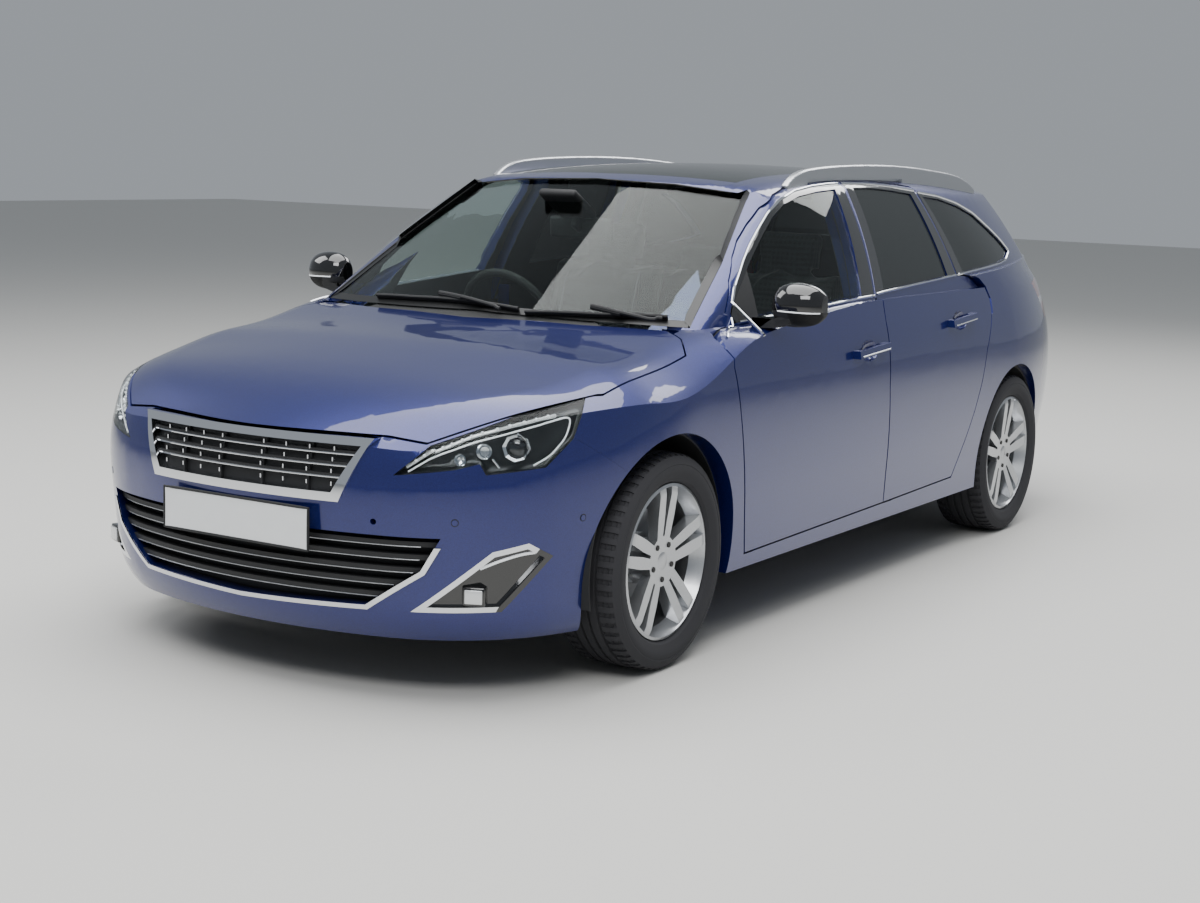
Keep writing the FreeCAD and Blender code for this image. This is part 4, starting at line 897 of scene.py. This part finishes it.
@dataclass
class Nose:
    """Bright parts of the grille, the intake, the plate surround and the sensors."""

    bars: tuple = (606.0, 637.0, 668.0)
    tick_rows: tuple = (587.0, 621.5, 652.5, 680.5)
    tick_step: float = 75.0
    slats: dict = field(default_factory=lambda: {290: 425, 326: 470, 362: 520, 398: 548, 434: 565})
    sensors: tuple = ((630, -2134, 506), (832, -1824, 501))
    disc: tuple = ((0, 0.0016), (0.008, 0.0013), (0.0088, -0.002))
    ring: tuple = ((0.0088, 0.0002), (0.0092, 0.0009), (0.0104, 0.0009), (0.0109, -0.001))

    def build(self) -> None:
        """Make all pieces of the nose."""
        ahead = Vector((0, -1, 0))
        skin = Skin("grille_bars")
        bright = Piece("grille_bright_bars", CHROME, BODY)
        for z in self.bars:
            half = 308.0 + (z - 567.0) * 0.551
            path = [Vector((x * half * MM, -2.3, z * MM)) for x in (-1, -0.5, 0, 0.5, 1)]
            bright.tube(skin.laid(path, ahead, 0.0006), 0.0028)
        for z in self.tick_rows:
            for k in range(-4, 5):
                x = k * self.tick_step
                if k and abs(x) < 300.0 + (z - 567.0) * 0.55:
                    near = min(self.bars, key=lambda bar: abs(bar - z))
                    place, _ = skin.drop(Vector((x, -2300, near)) * MM, ahead)
                    bright.box(Vector((place.x, place.y + 0.004, z * MM)), (0.004, 0.008, 0.011))
        bright.done()
        edges = Piece("intake_slat_edges", SATIN_RAIL, BODY)
        for z, half in self.slats.items():
            path = [Vector((x * half * MM, -2.3, z * MM)) for x in (-1, -0.8, -0.4, 0, 0.4, 0.8, 1)]
            edges.tube(skin.laid(path, ahead, 0.0), 0.0014)
        edges.done()
        self._plate()
        self._sensors()

    def _plate(self) -> None:
        """Black holder round the blank plate."""
        corners = [(-262, 407), (262, 407), (262, 522), (-262, 522)]
        loop = spaced([Vector((x, -2291, z)) * MM for x, z in corners], 0.03, True)
        holder = Piece("plate_holder", GRAINED_BLACK, BODY)
        holder.tube(loop, 0.0042, True).done()

    def _sensors(self) -> None:
        """Round parking sensors in the bumper."""
        skin = Skin("front_bumper")
        for name, side in SIDES:
            discs = Piece(f"parking_sensors_{name}", BODY_PAINT, BODY)
            rings = Piece(f"parking_sensor_rings_{name}", GRAINED_BLACK, BODY)
            facing = Vector((0.7 * side, -0.7, 0)).normalized()
            for point in mirrored(list(self.sensors), side):
                place, normal = skin.drop(point, facing)
                discs.turned(self.disc, place, normal, 24)
                rings.turned(self.ring, place, normal, 24)
            discs.done()
            rings.done()


@dataclass
class FogCorner:
    """Black outer end of the bright bezel, light strip and square fog lamp."""

    strip: tuple = ((668, -2070, 378), (705, -2030, 399), (745, -1990, 414), (768, -1960, 416))
    lamp: tuple = (655, -2070, 304)
    lamp_size: tuple = (0.062, 0.05, 0.052)
    lens_size: tuple = (0.048, 0.006, 0.038)

    def build(self) -> None:
        """Make both corners."""
        for name, side in SIDES:
            facing = Vector((0.6 * side, -0.8, 0))
            end = [(x * side, z) for x, z in ((690, 240), (900, 240), (900, 432), (780, 432))]
            sheet = patch("fog_bezels", facing, "front", end, 0.1)
            plated(f"fog_bezel_end_{name}", GLOSS_BLACK, "fog_bezels", sheet, PRINT_LIFT, 0.0008)
            skin = Skin("fog_lamps")
            line = skin.laid(mirrored(list(self.strip), side), facing, 0.003)
            Piece(f"fog_light_strip_{name}", LIGHT_GUIDE, BODY).tube(line, 0.004).done()
            place, _ = skin.drop(mirrored([self.lamp], side)[0], facing)
            turn = Matrix.Rotation(math.radians(24 * side), 3, "Z")
            frame = Piece(f"fog_lamp_frame_{name}", GLOSS_BLACK, BODY)
            frame.box(place, self.lamp_size, turn, 0.006).done()
            lens = Piece(f"fog_lamp_lens_{name}", CLEAR_LENS, BODY)
            front = place + turn @ Vector((0, -0.026, 0))
            lens.box(front, self.lens_size, turn, 0.0025).done()


@dataclass
class Headlamp:
    """Clear cover, dark bucket, light strip, projector and reflectors of one headlamp."""

    name: str
    side: int
    strip: tuple = (
        (512, -2195, 650), (553, -2140, 694), (632, -2060, 738), (700, -1975, 765), (776, -1815, 796),
    )
    line: tuple = (
        (514, -2190, 638), (553, -2135, 678), (635, -2060, 719), (705, -1965, 746), (782, -1835, 778),
        (797, -1835, 768), (806, -1872, 722), (790, -1925, 676), (765, -1965, 655),
    )
    projector: tuple = (738, -2001, 704)
    cups: tuple = ((680, -2069, 698, 21), (634, -2117, 675, 16))
    depth: float = 0.034
    bar: tuple = ((698, -2060, 676), (713, -2049, 652))
    # Profiles: radius and height in metres, and for a cup the share of its radius and the height.
    rim: tuple = (
        (0.026, -0.012), (0.028, 0.006), (0.037, 0.012), (0.04, 0.004), (0.034, -0.016), (0.026, -0.012),
    )
    cup: tuple = ((0, -0.004), (0.6, 0), (1, 0.012), (1.05, 0.008), (0.6, -0.008), (0, -0.01))

    def build(self) -> None:
        """Make the lamp."""
        self.facing = Vector((0.6 * self.side, -0.8, 0))
        self.half = [(x * self.side, z) for x, z in ((5, 500), (900, 500), (900, 900), (5, 900))]
        self._bucket()
        cover = patch("headlamps", self.facing, "front", self.half, 0.15)
        plated(f"headlamp_cover_{self.name}", LAMP_COVER, "headlamps", cover, -0.0022, 0.002)
        self.skin = Skin("headlamps")
        self._lights()
        self._optics()

    def _bucket(self) -> None:
        """Hollow the lamp body behind its cover."""
        shape = merged_copy("headlamps")
        cut_to(shape, "front", self.half)
        shape.normal_update()
        tree = BVHTree.FromBMesh(shape)
        outer = []
        for face in shape.faces:
            start = face.calc_center_median() + face.normal * 2e-4
            if face.normal.dot(self.facing) > 0.15 and tree.ray_cast(start, self.facing)[0] is None:
                outer.append(face)
        bmesh.ops.inset_region(shape, faces=outer, thickness=0.006, depth=0.0, use_even_offset=False)
        moved = {vert for face in outer for vert in face.verts}
        for vert in moved:
            vert.co -= self.facing * self.depth
        made = store(shape, f"headlamp_bucket_{self.name}", LAMP_BEZEL, BODY, 30)
        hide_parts("headlamps")

    def _inside(self, rows: tuple, depth: float) -> list[Vector]:
        """Path behind the cover.

        Args:
            rows: rough points in millimetres for the left side.
            depth: distance behind the outer face.

        Returns:
            The path.
        """
        return self.skin.laid(mirrored(list(rows), self.side), self.facing, -depth)

    def _lights(self) -> None:
        """Segmented light strip and the bright line under it."""
        path = self._inside(self.strip, 0.011)
        guide = Piece(f"light_strip_{self.name}", CLEAR_LENS, BODY)
        guide.tube(path, 0.0048).done()
        dots = Piece(f"light_dots_{self.name}", LIGHT_GUIDE, BODY)
        outer = self._inside(self.strip, 0.007)
        for i in range(13):
            at = outer[round((i + 0.5) / 13 * (len(outer) - 1))]
            dots.ball(at, (0.0042, 0.0042, 0.0042))
        dots.done()
        line = Piece(f"light_line_{self.name}", LIGHT_GUIDE, BODY)
        line.tube(self._inside(self.line, 0.009), 0.0024).done()

    def _optics(self) -> None:
        """Projector in its bright frame, two cups and the slanted bar."""
        aim = Vector((0.42 * self.side, -0.9, 0.1)).normalized()
        place, normal = self.skin.drop(mirrored([self.projector], self.side)[0], self.facing)
        centre = place - normal * 0.022
        frame = Piece(f"projector_frame_{self.name}", REFLECTOR, BODY, 20)
        frame.turned(self.rim, centre, aim, 8)
        for x, y, z, size in self.cups:
            at, out = self.skin.drop(mirrored([(x, y, z)], self.side)[0], self.facing)
            cup = [(share * size * MM, height) for share, height in self.cup]
            frame.turned(cup, at - out * 0.028, aim, 20)
        bar = [self.skin.drop(point, self.facing) for point in mirrored(list(self.bar), self.side)]
        frame.tube([p - n * 0.012 for p, n in bar], 0.0035)
        frame.done()
        lens = Piece(f"projector_lens_{self.name}", PROJECTOR, BODY)
        turn = aim.to_track_quat("Z", "Y").to_matrix()
        lens.ball(centre, (0.0275, 0.0275, 0.016), turn).done()


# ---------------------------------------------------------------- rear


@dataclass
class Rear:
    """Clear bands of the lamps, back wiper, high brake lamp, bright strip and reflectors."""

    clear_band: tuple = (899.0, 925.0)

    def build(self) -> None:
        """Make all pieces of the rear."""
        for name, side in SIDES:
            facing = Vector((0.75 * side, 0.66, 0))
            band = [(1700, self.clear_band[0]), (2300, self.clear_band[0]), (2300, self.clear_band[1]),
                    (1700, self.clear_band[1])]
            for node in ("tail_lamps", "tailgate_lamps"):
                sheet = patch(node, facing, "side", band, 0.15)
                kept = [f for f in sheet.faces if f.calc_center_median().x * side < 0]
                bmesh.ops.delete(sheet, geom=kept, context="FACES")
                plated(f"{node}_band_{name}", CLEAR_LENS, node, sheet, PRINT_LIFT, 0.0006)
        lid = body_of_node("tailgate")
        skin = Skin("tailgate", "back_window")
        up = Vector((0, 0.6, 0.8))
        lamp = Piece("high_brake_lamp", RED_LENS, lid)
        lamp.tube(skin.laid([Vector((x, 1.74, 1.33)) for x in (-0.16, 0.0, 0.16)], up, 0.001), 0.006).done()
        back = Vector((0, 1, 0.25)).normalized()
        wiper = Piece("back_wiper", GRAINED_BLACK, lid)
        arm = [Vector(p) for p in ((-0.02, 2.02, 1.1), (0.1, 2.0, 1.14), (0.2, 1.98, 1.165))]
        blade = [Vector(p) for p in ((0.02, 1.98, 1.165), (0.2, 1.97, 1.17), (0.38, 1.95, 1.175))]
        wiper.tube(skin.laid(arm, back, 0.018), 0.007)
        wiper.tube(skin.laid(blade, back, 0.01), 0.0055)
        wiper.done()
        path = skin.laid([Vector((x, 2.3, 0.912)) for x in (-0.28, 0, 0.28)], Vector((0, 1, 0)), 0.001)
        Piece("tailgate_strip", CHROME, lid).tube(path, 0.005).done()
        bumper = Skin("rear_bumper")
        for name, side in SIDES:
            rows = [(x, 2300, 420) for x in (430, 540, 640)]
            path = bumper.laid(mirrored(rows, side), Vector((0.2 * side, 0.98, 0)), 0.0005)
            Piece(f"rear_reflector_{name}", RED_LENS, BODY).tube(path, 0.009).done()


# ---------------------------------------------------------------- mirrors and handles


@dataclass
class DoorFittings:
    """Mirror glass, mirror shell, indicator line and the bright strip of the handles."""

    # Ends of each handle in side view: y, z, y, z.
    handles: tuple = (("front", -248, 834, -22, 846), ("rear", 588, 888, 799, 902))
    indicator: tuple = ((885, -850, 1012), (940, -850, 1011), (990, -840, 1010), (1014, -790, 1010))
    shell: tuple = ((-860, 940), (-740, 940), (-740, 1012), (-860, 1012))
    glass: tuple = ((872, 982), (905, 972), (1004, 984), (1008, 1074), (905, 1084), (872, 1062))

    def build(self) -> None:
        """Make the fittings of both sides."""
        for name, side in SIDES:
            node = f"mirror_{name}"
            body = body_of_node(node)
            for tag, facing in (("out", Vector((side, -0.3, 0))), ("fore", Vector((0, -1, -0.2)))):
                sheet = patch(node, facing.normalized(), "side", list(self.shell), 0.25)
                plated(f"mirror_shell_{tag}_{name}", GRAINED_BLACK, node, sheet, PRINT_LIFT, 0.0005)
            skin = Skin(node)
            ahead = Vector((0.35 * side, -0.93, 0)).normalized()
            line = skin.laid(mirrored(list(self.indicator), side), ahead, 0.0005)
            Piece(f"mirror_indicator_{name}", LIGHT_GUIDE, body).tube(line, 0.0022).done()
            window = [(x * side, z) for x, z in self.glass]
            sheet = patch(node, Vector((0, 1, 0)), "front", window, 0.8)
            plated(f"mirror_glass_{name}", MIRROR_GLASS, node, sheet, LINING_LIFT, 0.0008)
            for door, y0, z0, y1, z1 in self.handles:
                door_node = f"door_{door}_{name}"
                rows = side_rows([(y0, z0 - 7), ((y0 + y1) / 2, (z0 + z1) / 2 - 7), (y1, z1 - 7)])
                path = Skin(door_node).laid(mirrored(rows, side), Vector((side, 0, 0)), 0.0005)
                strip = Piece(f"handle_strip_{door}_{name}", CHROME, body_of_node(door_node))
                strip.tube(path, 0.0022).done()


# ---------------------------------------------------------------- wheels


@dataclass
class Wheel:
    """Tyre with grooves and shoulder blocks, bolts and centre cap of one wheel."""

    node: str
    side: int
    steps: int = 120
    section: tuple = (
        (232, 22), (240, 10), (262, 1.5), (280, 1.0), (283, 2.4), (286, 1.2), (299, 5.5), (309, 12),
        (314.5, 22), (316, 40), (317, 58), (310.5, 59.5), (310.5, 66.5), (317.3, 68), (318.3, 90),
        (311, 91.5), (311, 98.5), (318.4, 100), (318.5, 112.5),
    )
    bolts: int = 5

    def build(self) -> None:
        """Make the pieces of this wheel."""
        low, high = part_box(self.node)
        self.centre = (low + high) / 2
        self.width = (high - low).x
        self.axis = Vector((1, 0, 0))
        self._tyre()
        self._details()

    def _tyre(self) -> None:
        """Spin the tyre and press in its shoulder grooves."""
        half = [(r * MM, x * MM - self.width / 2) for r, x in self.section]
        profile = half + [(r, -x) for r, x in half[-2::-1]]
        profile += [(0.226, self.width / 2 - 0.03), (0.226, -self.width / 2 + 0.03), profile[0]]
        tyre = Piece(self.node + "_tread", TYRE_RUBBER, body_of_node(self.node), 28)
        tyre.turned(profile, self.centre, self.axis, self.steps)
        shape = tyre.shape
        bmesh.ops.remove_doubles(shape, verts=shape.verts[:], dist=1e-6)
        bmesh.ops.recalc_face_normals(shape, faces=shape.faces[:])
        blocks = []
        for face in shape.faces:
            middle = face.calc_center_median() - self.centre
            reach = abs(middle.x)
            turn = math.atan2(middle.z, middle.y) / math.tau * self.steps
            radius = math.hypot(middle.y, middle.z)
            if 0.058 < reach < 0.1 and radius > 0.3115 and int(turn % self.steps) % 2 == 0:
                blocks.append(face)
        bmesh.ops.inset_individual(shape, faces=blocks, thickness=0.0012, depth=-0.004)
        made = tyre.done()
        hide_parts(self.node)

    def _details(self) -> None:
        """Make the bolts and the centre cap."""
        rim = self.node.replace("tyre", "rim")
        skin = Skin(rim)
        out = Vector((self.side, 0, 0))
        bolts = Piece(self.node + "_bolts", CHASSIS_BLACK, body_of_node(rim), 20)
        for i in range(self.bolts):
            angle = math.tau * (i + 0.5) / self.bolts + math.pi / 2
            place = self.centre + Vector((0, math.cos(angle), math.sin(angle))) * 0.054
            at, _ = skin.drop(place, out)
            bolts.turned([(0, 0.003), (0.0085, 0.003), (0.0095, 0.0), (0.0095, -0.01)], at, out, 6)
        bolts.done()
        at, _ = skin.drop(self.centre, out)
        cap = Piece(self.node + "_cap", WHEEL_SILVER, body_of_node(rim))
        cap.turned([(0, 0.0035), (0.022, 0.003), (0.0275, 0.001), (0.0285, -0.004)], at, out, 40).done()


# ---------------------------------------------------------------- cabin


def applied(made: bpy.types.Object) -> None:
    """Put the result of an object's modifiers into its mesh."""
    graph = bpy.context.evaluated_depsgraph_get()
    mesh = bpy.data.meshes.new_from_object(made.evaluated_get(graph))
    old = made.data
    made.modifiers.clear()
    made.data = mesh
    bpy.data.meshes.remove(old)


@dataclass
class Upholstery:
    """Seats as cloth blown up over the plain blocks of the frame, with seams along the bolsters."""

    voxel: float = 0.012
    frames: int = 20
    pressure: float = 4.0
    reach: float = 0.024
    shrink: float = 0.009
    seams: tuple = (-0.16, 0.16)

    def build(self) -> None:
        """Make both rows of seats."""
        for node, middles in (("front_seats", (-0.365, 0.365)), ("rear_seat", (-0.31, 0.31))):
            cover = self._cover(node)
            skin = Skin(cover=cover.data)
            for i, middle in enumerate(middles):
                seam = Piece(f"{node}_seams_{i}", SEAM_THREAD, BODY)
                for offset in self.seams:
                    self._seam(seam, skin, node, middle + offset)
                seam.done()

    def _cover(self, node: str) -> bpy.types.Object:
        """Cushions of one row.

        Args:
            node: CAD node of the row.

        Returns:
            The cloth object.
        """
        made = store(merged_copy(node), node + "_cloth", SEAT_CLOTH, BODY)
        remesh = made.modifiers.new("voxels", "REMESH")
        remesh.mode = "VOXEL"
        remesh.voxel_size = self.voxel
        applied(made)
        shape = bmesh.new()
        shape.from_mesh(made.data)
        shape.normal_update()
        for vert in shape.verts:
            vert.co -= vert.normal * self.shrink
        for _ in range(5):
            bmesh.ops.smooth_vert(
                shape, verts=shape.verts, factor=0.5, use_axis_x=True, use_axis_y=True, use_axis_z=True
            )
        shape.to_mesh(made.data)
        shape.free()
        self._inflate(made)
        made.data.shade_smooth()
        made.data.materials.clear()
        made.data.materials.append(SEAT_CLOTH.material())
        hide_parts(node)
        return made

    def _inflate(self, made: bpy.types.Object) -> None:
        """Blow the cloth up and keep each point near its start.

        Args:
            made: the cloth object.
        """
        start = [vert.co.copy() for vert in made.data.vertices]
        cloth = made.modifiers.new("cloth", "CLOTH")
        cloth.settings.quality = 4
        cloth.settings.use_pressure = True
        cloth.settings.uniform_pressure_force = self.pressure
        cloth.settings.effector_weights.gravity = 0.0
        cloth.point_cache.frame_start = 1
        cloth.point_cache.frame_end = self.frames
        for number in range(1, self.frames + 1):
            bpy.context.scene.frame_set(number)
        applied(made)
        bpy.context.scene.frame_set(1)
        for vert, origin in zip(made.data.vertices, start):
            moved = vert.co - origin
            if moved.length > self.reach:
                vert.co = origin + moved.normalized() * self.reach

    def _seam(self, seam: Piece, skin: Skin, node: str, x: float) -> None:
        """Lay one seam from the front of a cushion up to the top of its back.

        Args:
            seam: piece that gets it.
            skin: surface of the cushions.
            node: CAD node of the row.
            x: its place across the car.
        """
        low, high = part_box(node)
        path = []
        for share in (0.08, 0.2, 0.35, 0.5, 0.6):
            path.append(Vector((x, low.y + (high.y - low.y) * share, 0.5)))
        up = Vector((0, -0.2, 0.98))
        seam.tube(skin.laid(path, up, 0.0005), 0.0025)
        back = []
        for share in (0.4, 0.55, 0.7, 0.8):
            back.append(Vector((x, low.y + (high.y - low.y) * 0.75, low.z + (high.z - low.z) * share)))
        seam.tube(skin.laid(back, Vector((0, -0.98, 0.2)), 0.0005), 0.0025)


@dataclass
class Cabin:
    """Linings of the doors, posts, roof, floor and tailgate, and the screen in the dashboard."""

    card: float = 0.003
    screen: tuple = (0.24, 0.012, 0.13)

    def build(self) -> None:
        """Make the linings."""
        for name, side in SIDES:
            inward = Vector((-side, 0, 0))
            for node in (f"door_front_{name}", f"door_rear_{name}", f"body_side_{name}"):
                self._lined(node, "lining", SOFT_TRIM, inward, 0.6)
        self._lined("roof", "lining", HEADLINING, Vector((0, 0, -1)), 0.5)
        for node in ("floor_pan", "load_floor"):
            self._lined(node, "carpet", CARPET, Vector((0, 0, 1)), 0.7)
        self._lined("tailgate", "lining", SOFT_TRIM, Vector((0, -0.95, -0.3)).normalized(), 0.6)
        rear = Vector((0, 1, 0))
        place, _ = Skin("dashboard").drop(Vector((0, -0.4, 0.84)), rear)
        Piece("dash_screen", GLOSS_BLACK, BODY).box(place, self.screen, bevel=0.004).done()

    def _lined(self, node: str, kind: str, finish: Finish, facing: Vector, limit: float) -> None:
        """Cover the inner faces of a node.

        Args:
            node: CAD node.
            kind: what the cover is called.
            finish: its finish.
            facing: direction into the cabin.
            limit: smallest cosine between a face's normal and facing.
        """
        plated(f"{node}_{kind}", finish, node, patch(node, facing, limit=limit), LINING_LIFT, self.card)


# ---------------------------------------------------------------- studio


@dataclass
class Studio:
    """Pale floor, soft lights and the photograph's camera."""

    eye: tuple[float, float, float] = (3.6093, -6.1883, 1.4891)
    azimuth: float = 0.5589
    elevation: float = 0.1545
    roll: float = 0.0292
    lens: float = 58.3
    floor_size: float = 60.0
    floor: Finish = Finish("pale_floor", "c9c8c4", roughness=0.6)
    sky: float = 0.45
    # Name, place, width and length, power.
    lamps: tuple = (
        ("top", (0.0, -0.5, 7.0), (7.0, 9.0), 900.0),
        ("key", (3.5, -7.5, 7.5), (6.0, 3.0), 500.0),
        ("fill", (-6.5, -3.0, 6.0), (4.0, 4.0), 250.0),
        ("rear", (1.0, 8.0, 6.5), (6.0, 3.0), 350.0),
    )

    def build(self) -> None:
        """Make floor, lights and camera."""
        self._floor()
        self._lights()
        self._camera()
        LOG.info("studio ready")

    def _floor(self) -> None:
        """Make the floor as one plain sheet."""
        shape = bmesh.new()
        bmesh.ops.create_grid(shape, x_segments=1, y_segments=1, size=self.floor_size / 2)
        mesh = bpy.data.meshes.new("floor")
        shape.to_mesh(mesh)
        shape.free()
        mesh.materials.append(self.floor.material())
        made = bpy.data.objects.new("floor", mesh)
        bpy.context.scene.collection.objects.link(made)

    def _lights(self) -> None:
        """Make the sky and the soft boxes."""
        world = bpy.data.worlds.new("studio_sky")
        bpy.context.scene.world = world
        world.use_nodes = True
        back = world.node_tree.nodes["Background"]
        back.inputs["Color"].default_value = linear("dfe6ee")
        back.inputs["Strength"].default_value = self.sky
        for name, place, size, power in self.lamps:
            lamp = bpy.data.lights.new(name, "AREA")
            lamp.shape = "RECTANGLE"
            lamp.size, lamp.size_y = size
            lamp.energy = power
            made = bpy.data.objects.new(name, lamp)
            made.location = place
            made.rotation_euler = (Vector((0, 0, 0.5)) - Vector(place)).to_track_quat("-Z", "Y").to_euler()
            bpy.context.scene.collection.objects.link(made)

    def _camera(self) -> None:
        """Make the camera that took the photograph."""
        a, e, r = self.azimuth, self.elevation, self.roll
        ahead = Vector((-math.sin(a) * math.cos(e), math.cos(a) * math.cos(e), -math.sin(e)))
        side = Vector((math.cos(a), math.sin(a), 0.0))
        up = side.cross(ahead)
        right = side * math.cos(r) + up * math.sin(r)
        above = up * math.cos(r) - side * math.sin(r)
        turned = Matrix((right, above, -ahead)).transposed()
        data = bpy.data.cameras.new("camera")
        data.lens = self.lens
        data.sensor_width = 36.0
        made = bpy.data.objects.new("camera", data)
        made.matrix_world = Matrix.Translation(self.eye) @ turned.to_4x4()
        bpy.context.scene.collection.objects.link(made)
        bpy.context.scene.camera = made


# ---------------------------------------------------------------- main


NEW_TYRES = ("tyre_front_left", "tyre_front_right", "tyre_rear_left", "tyre_rear_right")


def dress_nodes() -> None:
    """Give every CAD node without a new piece a merged, smooth copy."""
    for node in FRAME["nodes"]:
        if node in NEW_TYRES or node in ("headlamps", "front_seats", "rear_seat"):
            continue
        dressed(node, CAD_FINISHES.get(node, WHEEL_SILVER))
        LOG.info("dressed %s", node)


def main() -> None:
    """Build the whole scene in order."""
    Studio().build()
    dress_nodes()
    SideWindows().build()
    Screens().build()
    Nose().build()
    FogCorner().build()
    for name, side in SIDES:
        Headlamp(name, side).build()
    Rear().build()
    DoorFittings().build()
    for node in NEW_TYRES:
        Wheel(node, 1 if node.endswith("left") else -1).build()
    Cabin().build()
    Upholstery().build()


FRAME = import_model()

if __name__ == "__main__":
    logging.basicConfig(level=logging.INFO)
    main()
